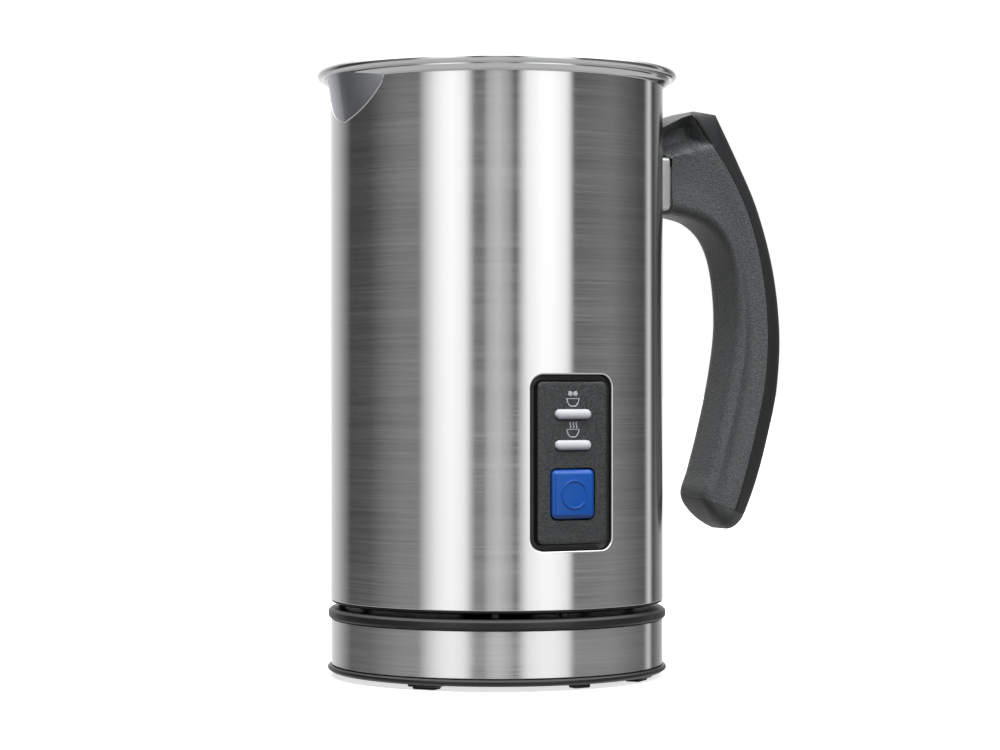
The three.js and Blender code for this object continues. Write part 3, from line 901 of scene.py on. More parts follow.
@dataclass(frozen=True)
class Metal(Finish):
    """Drawn, turned or plated metal, with faint clouding and fine marks."""

    contrast: float = 0.05
    relief: float = 0.004
    grain: float = 700.0

    def surface(self, graph: Graph) -> dict[str | int, Any]:
        """Clouding in the colour and roughness, and fine marks in the relief.

        Args:
            graph: The material's tree.

        Returns:
            The values and links of the shader's sockets.
        """
        cloud = graph.noise((60, 60, 60), detail=3)
        marks = graph.noise((self.grain, self.grain, self.grain), detail=2)
        colour = graph.blend(
            cloud.step(0.3, 0.7), self.shade(1 - self.contrast), self.shade(1 + self.contrast)
        )
        return {
            "Base Color": colour,
            "Metallic": 1.0,
            "Roughness": cloud * 0.06 + (marks * 0.05 + (self.roughness - 0.05)),
            "Normal": graph.bump(marks, self.relief),
        }


@dataclass(frozen=True)
class Moulded(Finish):
    """Moulded plastic or rubber, from glossy to spark-eroded."""

    grain: float = 900.0
    relief: float = 0.01
    contrast: float = 0.06
    gloss: float = 0.5
    speckle: float = 0.0

    def surface(self, graph: Graph) -> dict[str | int, Any]:
        """A faint mottle, and a grain in the relief, the colour and the roughness.

        Args:
            graph: The material's tree.

        Returns:
            The values and links of the shader's sockets.
        """
        cloud = graph.noise((45, 45, 45), detail=3)
        grain = graph.noise((self.grain, self.grain, self.grain), detail=2, rough=0.6)
        peaks = grain.step(0.36, 0.64)
        tone = peaks * self.speckle + cloud * (1 - self.speckle)
        colour = graph.blend(
            tone, self.shade(1 - self.contrast), self.shade(1 + self.contrast + self.speckle)
        )
        return {
            "Base Color": colour,
            "Roughness": cloud * 0.05 + (peaks * 0.05 + (self.roughness - 0.05)),
            "Specular IOR Level": self.gloss,
            "Normal": graph.bump(peaks, self.relief),
        }


@dataclass(frozen=True)
class Glassy(Finish):
    """Clear or frosted moulding that light passes."""

    clear: float = 1.0
    glow: float = 0.0

    def surface(self, graph: Graph) -> dict[str | int, Any]:
        """A faint waviness in the roughness and the relief.

        Args:
            graph: The material's tree.

        Returns:
            The values and links of the shader's sockets.
        """
        wave = graph.noise((120, 120, 120), detail=2)
        fine = graph.noise((900, 900, 900), detail=1)
        return {
            "Base Color": graph.blend(wave, self.shade(0.97), self.shade(1.0)),
            "Roughness": wave * 0.03 + (fine * 0.02 + self.roughness),
            "IOR": 1.46,
            "Transmission Weight": self.clear,
            "Emission Color": (*self.colour, 1.0),
            "Emission Strength": self.glow,
            "Normal": graph.bump(fine, 0.002),
        }


@dataclass(frozen=True)
class Laminate(Finish):
    """Circuit board with tracks under a lacquer."""

    def surface(self, graph: Graph) -> dict[str | int, Any]:
        """Tracks in the colour and the relief.

        Args:
            graph: The material's tree.

        Returns:
            The values and links of the shader's sockets.
        """
        inputs = {"Vector": graph.place((420, 420, 420)), "Scale": 1.0}
        cells = graph.value(graph.node("ShaderNodeTexVoronoi", {"feature": "F1"}, inputs))
        tracks = cells.step(0.42, 0.5)
        return {
            "Base Color": graph.blend(tracks, self.colour, self.shade(1.7)),
            "Roughness": tracks * 0.1 + self.roughness,
            "Normal": graph.bump(tracks, 0.03),
        }


SHELL_STEEL = BrushedMetal("brushed_shell_steel", (0.86, 0.862, 0.868), 0.185)
BASE_STEEL = BrushedMetal("brushed_base_steel", (0.82, 0.822, 0.828), 0.22, contrast=0.03)
RIM_STEEL = Metal("polished_rim_steel", (0.80, 0.805, 0.815), 0.13, contrast=0.02, relief=0.001)
LIP_STEEL = Metal("polished_lip_steel", (0.74, 0.755, 0.8), 0.3, contrast=0.03, relief=0.002)
BRACKET_STEEL = Metal("plain_bracket_steel", (0.84, 0.845, 0.85), 0.5, contrast=0.02, relief=0.002)
EDGE_STEEL = Metal("bright_edge_steel", (0.90, 0.90, 0.91), 0.18, contrast=0.02, relief=0.001)
POT_STEEL = Metal("drawn_pot_steel", (0.68, 0.685, 0.69), 0.22, contrast=0.04, relief=0.003)
WIRE_STEEL = Metal("spring_wire_steel", (0.72, 0.72, 0.73), 0.18)
ZINC = Metal("zinc_plated_steel", (0.52, 0.54, 0.56), 0.38, contrast=0.08)
BRASS = Metal("brass_contacts", (0.66, 0.47, 0.2), 0.3, contrast=0.07)
COPPER = Metal("copper_segments", (0.62, 0.3, 0.18), 0.34, contrast=0.08)
ALUMINIUM = Metal("cast_aluminium", (0.62, 0.63, 0.64), 0.42, contrast=0.07, relief=0.03)
MAGNET = Metal("sintered_magnet", (0.05, 0.052, 0.058), 0.55, contrast=0.1, relief=0.02)
GRIP_BLACK = Moulded(
    "grained_black_grip", (0.044, 0.0468, 0.048), 0.32, grain=1700, relief=0.09, speckle=0.8
)
PANEL_BLACK = Moulded(
    "grained_black_panel", (0.022, 0.0232, 0.024), 0.33, grain=1500, relief=0.07, speckle=0.9
)
END_BLACK = Moulded(
    "smooth_black_end", (0.034, 0.036, 0.037), 0.34, grain=1500, relief=0.02, speckle=0.4
)
SATIN_BLACK = Moulded("satin_black_plastic", (0.014, 0.0148, 0.0155), 0.36, relief=0.004)
FRAME_BLACK = Moulded("deep_black_frame", (0.005, 0.0053, 0.0056), 0.36, relief=0.004)
BASE_BLACK = Moulded("satin_black_base", (0.011, 0.0115, 0.012), 0.34, relief=0.004)
INNER_BLACK = Moulded("plain_black_plastic", (0.02, 0.02, 0.021), 0.5, relief=0.01)
SOFT_RUBBER = Moulded("black_rubber", (0.02, 0.02, 0.021), 0.75, grain=500, relief=0.02, gloss=0.3)
SEAL_GREY = Moulded("grey_silicone", (0.3, 0.32, 0.34), 0.55, relief=0.006, gloss=0.4)
BUTTON_BLUE = Moulded("blue_button_plastic", (0.004, 0.074, 0.35), 0.24, relief=0.005, contrast=0.04)
ICON_GREY = Moulded("light_grey_print", (0.46, 0.47, 0.49), 0.5, relief=0.004, contrast=0.03)
LENS_FROST = Moulded("frosted_lens", (0.54, 0.545, 0.585), 0.18, relief=0.003, contrast=0.03)
LAMP_CLEAR = Glassy("clear_lamp", (0.86, 0.88, 0.9), 0.1, clear=0.8)
LID_CLEAR = Glassy("clear_lid", (0.93, 0.95, 0.96), 0.04)
BOARD_GREEN = Laminate("lacquered_board", (0.012, 0.1, 0.035), 0.4)


def settle(piece: Object, body: Body, finish: Finish, slot: Slot, *nodes: str) -> Object:
    """Dresses a piece, ties it to its body and hides the nodes that it stands for.

    Args:
        piece: The piece.
        body: The body that it rides on.
        finish: Its finish.
        slot: The record's material slot, which is not used.
        nodes: The nodes that it replaces.

    Returns:
        The piece.
    """
    piece.data.materials.clear()
    piece.data.materials.append(finish.material())
    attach(piece, body.value)
    if nodes:
        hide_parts(*nodes)
    log.info("%s rides on %s, %d faces", piece.name, body.value, len(piece.data.polygons))
    return piece


@dataclass
class Shared:
    """The node trees that the assemblies share."""

    pattern: RoundPattern = field(default_factory=RoundPattern)
    sweep: Sweep = field(default_factory=Sweep)
    coil: CoilRing = field(default_factory=CoilRing)

    def repeat(
        self,
        name: str,
        one: Object,
        spots: Sequence[Point],
        body: Body,
        finish: Finish,
        slot: Slot,
        *nodes: str,
    ) -> Object:
        """Repeats a piece about the axis and settles the copies.

        Args:
            name: The new piece's name.
            one: The piece that is repeated.
            spots: Where the copies go.
            body: The body that they ride on.
            finish: Their finish.
            slot: The record's material slot.
            nodes: The nodes that they replace.

        Returns:
            The copies as one piece.
        """
        return settle(self.pattern.copies(name, one, spots, finish), body, finish, slot, *nodes)


def cross_screw(name: str, radius: float, low: float, high: float, tip: float) -> Object:
    """One screw that points up, at the origin, with a cross recess under its head.

    Args:
        name: The object's name.
        radius: Radius of the head.
        low: Underside of the head.
        high: Where the head meets the shank.
        tip: End of the shank.

    Returns:
        The screw.
    """
    shank, slot_long, slot_wide, slot_round = 1.5, radius * 1.15, 0.7, 0.12
    crown = [(0, low), (radius * 0.45, low + 0.05), (radius * 0.8, low + 0.3, 0.3)]
    side = [(radius, low + 0.9, 0.2), (radius, high, 0.1), (shank, high), (shank, tip), (0, tip)]
    head = Blank().turn(eased([*crown, *side]), 40).piece(name)
    bar = RoundedRect(slot_long, slot_wide, slot_round)
    wing = RoundedRect(slot_wide, slot_long, slot_round)
    levels = [(0.1, low - 1), (-0.15, low + 1.1)]
    cutters = [
        Blank().stack(shape, levels, Facing.UP, 3).piece(f"{name}_slot_{i}")
        for i, shape in enumerate((bar, wing))
    ]
    return carve(head, *cutters)


# ---------------------------------------------------------------- power base


@dataclass
class PowerBase:
    """The base that stays on the table, and its plug for the jug."""

    shared: Shared
    radius: float = 55.0
    band_radius: float = 53.8
    ring_top: float = 3.8
    band_top: float = 19.0
    top: float = 22.3
    tower_radius: float = 10.2
    tower_top: float = 31.0
    inlet_height: float = 10.4
    inlet_hole: float = 4.5
    screw_circle: float = 38.0
    screw_angles: tuple[float, ...] = (150, 270, 30)
    screw_bore: float = 3.4
    foot_circle: float = 48.5
    foot_angles: tuple[float, ...] = (-50, 43, 130, 217)
    pad_circle: float = 48.9
    rib_circle: float = 48.0
    rib_angle: float = -84.0

    def build(self) -> None:
        """Builds the whole base."""
        self.floor()
        self.band()
        self.top_cover()
        self.plug()
        self.feet()
        self.screws()
        self.bush()

    def inlet(self) -> Object:
        """Returns the round bar that cuts the lead's way in."""
        start, end = (0, 44, self.inlet_height), (0, 60, self.inlet_height)
        return rod("inlet_cut", self.inlet_hole, start, end)

    def floor(self) -> None:
        """Builds the bottom cover, its pads above the feet and its standing rib."""
        outline = eased(
            [
                (0, 1), (30, 1, 0.3), (30.6, 1.8, 0.3), (45, 1.8, 0.2), (45.4, 1.6, 0.2), (53.6, 1.7, 0.8),
                (self.radius, 2.5, 0.6), (self.radius, 3.3, 0.5), (54.5, self.ring_top, 0.25),
                (51.9, self.ring_top), (51.9, 7.5, 0.2), (50.4, 7.5, 0.2), (50.4, 3.6), (0, 3.6),
            ]
        )
        cover = Blank().turn(outline).piece("base_floor")
        bores = drill("bore", self.screw_bore, self.screw_circle, self.screw_angles, (-1, 3.3))
        carve(cover, *bores, self.inlet())
        settle(cover, Body.BASE, BASE_BLACK, Slot.BLACK, "base_bottom_cover")
        pad = RoundedRect(6.4, 10.2, 0.9)
        levels = [(-0.2, 0.85), (0, 1.05), (0, 2.6)]
        one = Blank().stack(pad, levels, Facing.UP, 6).piece("pad")
        spots = [polar(self.pad_circle, angle) for angle in self.foot_angles]
        repeat = self.shared.repeat
        repeat("base_foot_pads", one, spots, Body.BASE, BASE_BLACK, Slot.BLACK, "base_bottom_cover")
        rib = RoundedRect(4.0, 5.8, 0.5)
        one = Blank().stack(rib, [(-0.3, 0.12), (0, 0.4), (0, 2.6)], Facing.UP, 5).piece("rib")
        spots = [polar(self.rib_circle, self.rib_angle)]
        repeat("base_rib", one, spots, Body.BASE, BASE_BLACK, Slot.BLACK, "base_bottom_cover")

    def band(self) -> None:
        """Builds the brushed steel band."""
        low, high = self.ring_top + 0.3, self.band_top - 0.3
        inner, outer = self.band_radius - 0.8, self.band_radius
        outline = eased([(inner, low), (outer, low, 0.2), (outer, high, 0.2), (inner, high)])
        band = carve(Blank().turn(outline).piece("base_steel_band"), self.inlet())
        round_shading(band)
        settle(band, Body.BASE, BASE_STEEL, Slot.BRUSHED, "base_band")

    def top_cover(self) -> None:
        """Builds the dished top with its skirt."""
        outline = eased(
            [
                (12.3, 19.4), (51, 19.4), (51, 9), (52.6, 9), (52.6, self.band_top),
                (54.2, self.band_top, 0.2), (54.8, 19.6, 0.35), (54.8, 21.4, 0.5), (53.9, self.top, 0.7),
                (49.6, self.top, 0.5), (47.8, 21.2, 0.6), (12.3, 21.2, 0.3),
            ]
        )
        cover = carve(Blank().turn(outline).piece("base_top"), self.inlet())
        settle(cover, Body.BASE, BASE_BLACK, Slot.BLACK, "base_top_cover")

    def plug(self) -> None:
        """Builds the round plug, its contact ring and its pin."""
        tower = eased(
            [
                (2.8, 16.6), (17, 16.6), (17, 19.1), (12, 19.1), (12, 24.2, 0.4), (self.tower_radius, 24.6),
                (self.tower_radius, 30.3, 0.4), (9.5, self.tower_top, 0.4), (4.4, self.tower_top, 0.3),
                (4.4, 26, 0.2), (2.8, 26),
            ]
        )
        plug = Blank().turn(tower, SMALL_ROUND).piece("base_plug")
        settle(plug, Body.BASE, BASE_BLACK, Slot.BLACK, "base_connector")
        inner, outer = self.tower_radius + 0.2, self.tower_radius + 1
        ring = eased([(inner, 25), (outer, 25), (outer, 28), (inner, 28)], 0.2)
        contact = Blank().turn(ring, SMALL_ROUND).piece("base_contact_ring")
        settle(contact, Body.BASE, BRASS, Slot.BRASS, "contact_ring")
        pin = eased([(0, 14), (2.5, 14, 0.3), (2.5, 28.6, 0.6), (1.6, 29.8, 0.5), (0, 30)])
        centre = Blank().turn(pin, 40).piece("base_contact_pin")
        settle(centre, Body.BASE, BRASS, Slot.BRASS, "contact_pin")

    def feet(self) -> None:
        """Builds the rubber feet."""
        foot = RoundedRect(5.0, 8.0, 0.8)
        levels = [(-0.35, 0.0), (-0.05, 0.25), (0, 0.6), (0, 2.1)]
        one = Blank().stack(foot, levels, Facing.UP, 6).piece("foot")
        spots = [polar(self.foot_circle, angle) for angle in self.foot_angles]
        nodes = [f"base_foot_{i + 1}" for i in range(len(self.foot_angles))]
        self.shared.repeat("base_feet", one, spots, Body.BASE, SOFT_RUBBER, Slot.RUBBER, *nodes)

    def screws(self) -> None:
        """Builds the three screws under the base."""
        one = cross_screw("screw", radius=3.0, low=2.0, high=3.9, tip=15)
        spots = [polar(self.screw_circle, angle) for angle in self.screw_angles]
        nodes = [f"base_screw_{i + 1}" for i in range(len(self.screw_angles))]
        self.shared.repeat("base_screws", one, spots, Body.BASE, ZINC, Slot.ZINC, *nodes)

    def bush(self) -> None:
        """Builds the ribbed bush that the lead passes."""
        bore, outer, start, end = 3.0, 4.2, 49.5, 55.2
        grooves, first, pitch, floor = 3, 53.9, 0.42, 3.95
        outline = [(bore, start), (outer, start)]
        for groove in range(grooves):
            at = first + groove * pitch
            outline += [(outer, at), (floor, at + 0.08), (floor, at + 0.2), (outer, at + 0.28)]
        outline += [(4.05, end), (bore, end)]
        height = self.inlet_height
        bush = Blank().turn(eased(outline, 0.1, 2), 48)
        bush.moved(lambda p: (p[0], p[2], p[1] + height))
        piece = bush.piece("base_lead_bush")
        settle(piece, Body.BASE, SOFT_RUBBER, Slot.RUBBER, "cord_inlet_bush")


@dataclass
class JugSocket:
    """The socket under the jug, which fits over the base's plug at any angle."""

    outer: float = 14.9
    low: float = 24.8
    high: float = 37.0

    def build(self) -> None:
        """Builds the housing and its sleeve."""
        outline = eased(
            [
                (12.7, self.low, 0.3), (self.outer, self.low, 0.2), (self.outer, self.high, 0.5),
                (3.2, self.high), (3.2, 33), (12.7, 33),
            ]
        )
        housing = Blank().turn(outline, SMALL_ROUND).piece("jug_socket_housing")
        settle(housing, Body.SOCKET, INNER_BLACK, Slot.BLACK, "socket_housing")
        ring = eased([(11.5, 26), (12.4, 26), (12.4, 32.6), (11.5, 32.6)], 0.15)
        sleeve = Blank().turn(ring, SMALL_ROUND).piece("jug_socket_sleeve")
        settle(sleeve, Body.SOCKET, BRASS, Slot.BRASS, "socket_sleeve")


# ---------------------------------------------------------------- jug


@dataclass
class LipShape:
    """The rule that the pouring lip follows round the rim."""

    radius: float = 54.0
    tip: float = 177.5
    flare: float = 190.8
    half_angle: float = 23.2
    reach: float = 2.3
    point: float = 0.3
    bow: float = 2.6
    sheet: float = 0.8

    def share(self, degrees: float) -> float:
        """How far up the edge is, for a V with a pointed tip and bowed sides.

        Args:
            degrees: The angle from the lip's middle.

        Returns:
            0 at the tip, 1 at the flare.
        """
        out = min(abs(degrees / self.half_angle), 1.0)
        bowed = 0.6 * out**self.bow + 0.4 * (1 - math.sqrt(1 - out * out))
        return self.point * out + (1 - self.point) * bowed

    def low(self, degrees: float) -> float:
        """Returns the height of the lower edge."""
        return mix(self.tip, self.flare, self.share(degrees))

    def top_radius(self, degrees: float) -> float:
        """Returns the radius of the top edge."""
        return self.radius + self.reach * (1 - self.share(degrees))

    def section(self, degrees: float, parts: int = 16) -> list[Flat]:
        """Closed section of the sheet.

        Args:
            degrees: The angle from the lip's middle.
            parts: Parts of each side.

        Returns:
            Points of radius and height.
        """
        low, reach = self.low(degrees), self.top_radius(degrees)
        foot = self.flare + (reach - self.radius) * 0.8
        outside: list[Flat] = []
        for part in range(parts + 1):
            t = part / parts
            outside.append((mix(self.radius, reach, t**1.12), mix(low, foot + 0.1, t)))
        outside.append((reach + 0.15, foot + 0.9))
        outside.append((reach, foot + 1.5))
        inside = [(r - self.sheet, z + 0.25) for r, z in reversed(outside[:-1])]
        return outside + inside

    @staticmethod
    def around(degrees: float, radius: float, height: float) -> Point:
        """Returns a point at an angle from the lip's middle."""
        return polar(radius, 180 + degrees, height)

    def notch(self, name: str, margin: float, steps: int = 56) -> Object:
        """Solid that cuts the lip's V out of the wall and the rim.

        Args:
            name: The object's name.
            margin: How much larger it is than the lip.
            steps: Steps from side to side.

        Returns:
            The cutter.
        """
        end = self.half_angle * 1.004
        inside, above = 51, 199
        rows = []
        for step in range(steps + 1):
            angle = mix(-end, end, step / steps)
            low, reach = self.low(angle) - margin, self.top_radius(angle) + margin
            outline = [(inside, low), (reach, low), (reach, above), (inside, above)]
            rows.append([self.around(angle, r, z) for r, z in outline])
        return Blank().rows(rows).piece(name)


@dataclass
class JugWalls:
    """Outer shell, inner pot, rim and pouring lip."""

    shared: Shared
    lip: LipShape
    opening: RoundedRect
    radius: float = 54.0
    wall: float = 0.7
    low: float = 24.9
    flare: float = 190.8
    pot_radius: float = 47.0
    pot_floor: float = 103.0
    shoulder: float = 171.4
    mouth_radius: float = 52.2
    mouth_low: float = 176.4
    bead_middle: Flat = (56.95, 194.4)
    bead_radius: float = 1.28
    bead_turn: Flat = (-152.0, 168.0)
    bead_steps: int = 22
    edge: float = 0.6
    edge_steps: int = 8
    lining_back: float = -49.7
    screw_height: float = 161.25
    screw_hole: float = 2.2
    lip_steps: int = 96
    lip_play: float = 0.02

    def build(self) -> None:
        """Builds the walls."""
        self.shell()
        self.opening_edge()
        self.pot()
        self.rim()
        self.pouring_lip()

    def shell(self) -> None:
        """Builds the brushed outer shell, with its openings."""
        inner, outer = self.radius - self.wall, self.radius
        high = self.flare - 0.02
        outline = eased([(inner, self.low), (outer, self.low, 0.25), (outer, high), (inner, high)])
        shell = Blank().turn(outline, 256).piece("jug_shell")
        depths = [(self.edge, -60), (self.edge, -40)]
        hole = Blank().stack(self.opening, depths, parts=14).piece("opening_cut")
        screw = rod("screw_cut", self.screw_hole, (50, 0, self.screw_height), (60, 0, self.screw_height))
        carve(shell, hole, self.lip.notch("lip_cut", self.lip_play), screw)
        round_shading(shell)
        settle(shell, Body.JUG, SHELL_STEEL, Slot.BRUSHED, "outer_shell")

    def opening_edge(self) -> None:
        """Builds the turned-in edge of the panel's opening."""
        levels = [(self.edge + 0.05, 0.72), (0.7, 1.1), (0.7, 2.6), (0.0, 2.6)]
        for step in range(self.edge_steps + 1):
            angle = math.radians(90 * step / self.edge_steps)
            levels.append((self.edge * (1 - math.cos(angle)), self.edge * (1 - math.sin(angle))))
        levels.append((self.edge + 0.05, 0.0))
        blank = Blank()
        rows = []
        for margin, depth in levels:
            points = []
            for x, z in self.opening.outline(margin, 14):
                front = depth - math.sqrt(self.radius**2 - x * x)
                points.append((x, self.lining_back if depth > 2 else front, z))
            rows.append(blank.row(points))
        for one, other in zip(rows, rows[1:] + rows[:1]):
            blank.band(one, other)
        edge = blank.piece("jug_opening_edge", math.radians(50))
        settle(edge, Body.JUG, EDGE_STEEL, Slot.BRUSHED, "outer_shell")

    def pot(self) -> None:
        """Builds the drawn inner pot."""
        inner, outer = self.pot_radius, self.pot_radius + 0.8
        floor, shoulder = self.pot_floor, self.shoulder
        outline = eased(
            [
                (5.4, floor - 0.8), (42, floor - 0.8, 1), (46.2, 104.2, 2), (outer, 108.4, 1),
                (outer, shoulder - 0.6, 1), (53, self.mouth_low - 1.1), (53, self.mouth_low),
                (self.mouth_radius, self.mouth_low), (self.mouth_radius, self.mouth_low - 0.5, 0.8),
                (inner, shoulder, 1.2), (inner, 108.7, 3), (45.7, 104.9, 3), (41.8, floor, 2),
                (30, floor, 0.3), (29.4, floor - 0.25, 0.2), (28.8, floor, 0.3), (5.4, floor),
            ],
            steps=6,
        )
        pot = Blank().turn(outline).piece("jug_inner_pot")
        settle(pot, Body.JUG, POT_STEEL, Slot.POLISHED, "inner_pot")

    def rim(self) -> None:
        """Builds the mouth's wall, its flare and the rolled edge."""
        middle_r, middle_z = self.bead_middle
        bead = []
        for step in range(self.bead_steps + 1):
            r, z, _ = polar(self.bead_radius, mix(*self.bead_turn, step / self.bead_steps))
            bead.append((middle_r + r, middle_z + z))
        low, inner = self.mouth_low + 0.3, self.mouth_radius
        outline = [
            (inner + 0.8, low), (inner + 0.8, self.flare), (self.radius, self.flare), (54.5, 191.08),
            (55.0, 191.48), (55.5, 191.94), (55.82, 192.36), (55.92, 192.8), (55.86, 193.3), *bead,
            (54.9, 193.75), (53.9, 192.9), (53.0, 192.05), (52.4, 191.3), (inner, 190.6), (inner, low),
        ]
        rim = Blank().turn(outline, 256).piece("jug_rim", math.radians(40))
        carve(rim, self.lip.notch("rim_cut", self.lip_play))
        settle(rim, Body.JUG, RIM_STEEL, Slot.POLISHED, "rim")

    def pouring_lip(self) -> None:
        """Builds the lip and the bead along its seam."""
        lip, steps = self.lip, self.lip_steps
        rows = []
        seam = []
        for step in range(steps + 1):
            angle = mix(-lip.half_angle, lip.half_angle, step / steps)
            rows.append([lip.around(angle, r, z) for r, z in lip.section(angle)])
            if 1 < step < steps - 1:
                seam.append(lip.around(angle, lip.radius + self.lip_play, lip.low(angle)))
        sheet = Blank().rows(rows).piece("jug_pouring_lip")
        settle(sheet, Body.JUG, LIP_STEEL, Slot.POLISHED, "pouring_lip")
        bead = self.shared.sweep.run(
            "jug_lip_seam", seam, chain(seam), Radius=0.15 * MM, Sides=8, Material=EDGE_STEEL.material()
        )
        settle(bead, Body.JUG, EDGE_STEEL, Slot.POLISHED, "pouring_lip")


@dataclass
class JugBottom:
    """Bottom cover of the jug, with its pegs and screws."""

    shared: Shared
    low: float = 23.7
    screw_circle: float = 32.0
    screw_angles: tuple[float, ...] = (90, 210, 330)
    screw_bore: float = 3.4
    peg_circle: float = 50.5
    peg_angles: tuple[float, ...] = (3, 28, 123, 148, 243, 268)

    def build(self) -> None:
        """Builds the cover."""
        outline = eased(
            [
                (15.2, self.low, 0.3), (51.8, self.low, 0.5), (53.7, 24.3, 0.25), (53.7, 24.6), (53, 24.6),
                (53, 30), (51.4, 30), (51.4, 26), (17, 26), (17, 38), (15.2, 38),
            ]
        )
        cover = Blank().turn(outline).piece("jug_bottom")
        wells = drill("well", self.screw_bore, self.screw_circle, self.screw_angles, (20, 25.4))
        carve(cover, *wells)
        settle(cover, Body.JUG, BASE_BLACK, Slot.BLACK, "jug_bottom_cover")
        peg = eased([(0, 22.4), (1.6, 22.4, 0.3), (1.6, 24.0), (0, 24.0)])
        one = Blank().turn(peg, 24).piece("peg")
        spots = [polar(self.peg_circle, angle) for angle in self.peg_angles]
        repeat = self.shared.repeat
        repeat("jug_pegs", one, spots, Body.JUG, BASE_BLACK, Slot.BLACK, "jug_bottom_cover")
        one = cross_screw("screw", radius=3.0, low=24.1, high=26.0, tip=38)
        spots = [polar(self.screw_circle, angle) for angle in self.screw_angles]
        nodes = [f"cover_screw_{i + 1}" for i in range(len(self.screw_angles))]
        repeat("jug_screws", one, spots, Body.JUG, ZINC, Slot.ZINC, *nodes)


# ---------------------------------------------------------------- control panel


@dataclass
class ControlPanel:
    """The panel in the shell, its lights, its signs and its button."""

    shared: Shared
    opening: RoundedRect
    face: float = -52.9
    back: float = -48.2
    lens: Flat = (12.5, 3.2)
    lens_heights: tuple[float, float] = (85.2, 75.65)
    lens_back: float = -46.5
    lens_crown: float = 1.25
    lens_steps: int = 8
    lens_gap: float = 0.12
    button: RoundedRect = RoundedRect(width=14.7, height=15.2, radius=1.7, middle_z=60.5)
    button_face: float = -53.9
    button_gap: float = 0.45
    ring_radius: float = 4.26
    ring_line: float = 0.42
    sign_line: float = 0.22
    cup_heights: tuple[float, float] = (87.7, 78.2)
    foam_middle: Flat = (0.88, 91.6)
    foam_radius: float = 0.56
    foam_lobe: float = 0.16
    steam_places: tuple[float, ...] = (-1.05, 0.0, 1.05)
    steam_span: Flat = (80.85, 82.75)

    def build(self) -> None:
        """Builds the panel."""
        self.frame_and_face()
        self.lenses()
        self.signs()
        self.push_button()

    def lens_shape(self, height: float) -> RoundedRect:
        """Returns the pill shape of a lens at a height."""
        width, tall = self.lens
        return RoundedRect(width, tall, tall / 2 - 0.01, 0.0, height)

    def frame_and_face(self) -> None:
        """Builds the smooth frame and, inside it, the raised grained face."""
        face, back = self.face, self.back
        ledge, flange = face + 2.2, back - 1.2
        frame_levels = [
            (1.6, back), (1.6, flange), (-0.1, flange), (-0.1, ledge + 0.2), (-0.2, ledge + 0.06),
            (-0.4, ledge), (-1.5, ledge), (-1.66, ledge - 0.1), (-1.8, ledge - 0.6), (-2.02, face + 1.1),
            (-2.1, face + 0.6),
        ]
        border = Blank().stack(self.opening, frame_levels, parts=12).piece("panel_frame")
        carve(border, *self.holes("frame"))
        settle(border, Body.JUG, FRAME_BLACK, Slot.BLACK, "control_panel")
        face_levels = [
            (-2.25, face + 1.2), (-2.1, face + 0.62), (-2.2, face + 0.34), (-2.42, face + 0.14),
            (-2.75, face + 0.03), (-3.2, face),
        ]
        plate = Blank().stack(self.opening, face_levels, parts=12).piece("panel_face")
        carve(plate, *self.holes("face"))
        settle(plate, Body.JUG, PANEL_BLACK, Slot.BLACK, "control_panel")

    def holes(self, label: str) -> list[Object]:
        """Cutters for the lenses and the button, with a small bevel at the face.

        Args:
            label: Start of the cutters' names.

        Returns:
            The cutters.
        """
        levels = [(0, -40), (0, self.face + 0.2), (0.22, self.face - 0.02), (0.22, -56)]
        cutters = []
        for i, height in enumerate(self.lens_heights):
            grown = [(margin + self.lens_gap, depth) for margin, depth in levels]
            cutter = Blank().stack(self.lens_shape(height), grown, parts=12)
            cutters.append(cutter.piece(f"{label}_lens_{i}"))
        grown = [(margin + self.button_gap, depth) for margin, depth in levels]
        cutters.append(Blank().stack(self.button, grown, parts=8).piece(f"{label}_button"))
        return cutters

    def lenses(self) -> None:
        """Builds the two crowned lenses."""
        half, front = self.lens[1] / 2 - 0.04, self.face - 0.02
        crown = [(0.0, self.lens_back), (0.0, front)]
        for step in range(1, self.lens_steps + 1):
            angle = math.radians(90 * step / self.lens_steps)
            crown.append((-(1 - math.cos(angle)) * half, front - self.lens_crown * math.sin(angle)))
        for i, height in enumerate(self.lens_heights):
            lens = Blank().stack(self.lens_shape(height), crown, parts=14).piece(f"panel_lens_{i + 1}")
            settle(lens, Body.JUG, LENS_FROST, Slot.LENS, f"light_lens_{i + 1}")

    def cup(self, low: float) -> list[Flat]:
        """Returns the closed outline of a cup that stands at a height."""
        side = [(2.2, 2.3), (2.1, 2.05), (1.9, 1.35), (1.45, 0.55), (1.0, 0.1), (0.75, 0.0)]
        return [(x, low + z) for x, z in side] + [(-x, low + z) for x, z in reversed(side)]

    def foam(self, side: int, size: float, steps: int = 40) -> list[Flat]:
        """Closed outline of one ball of foam, with five lobes.

        Args:
            side: -1 for the left ball and 1 for the right one.
            size: Its size beside the whole ball.
            steps: Points of the outline.

        Returns:
            The outline's points.
        """
        x, z = self.foam_middle
        outline: list[Flat] = []
        for step in range(steps):
            angle = math.tau * step / steps
            radius = size * (self.foam_radius + self.foam_lobe * math.cos(5 * angle))
            outline.append((side * x + radius * math.cos(angle), z + radius * math.sin(angle)))
        return outline

    def steam(self, place: float, steps: int = 12) -> list[Flat]:
        """One wave of steam.

        Args:
            place: Where it starts beside the middle.
            steps: Its parts.

        Returns:
            Its points.
        """
        lean, swing = 0.35, 0.28
        shares = [step / steps for step in range(steps + 1)]
        return [
            (place + lean * t + swing * math.sin(math.tau * t), mix(*self.steam_span, t)) for t in shares
        ]

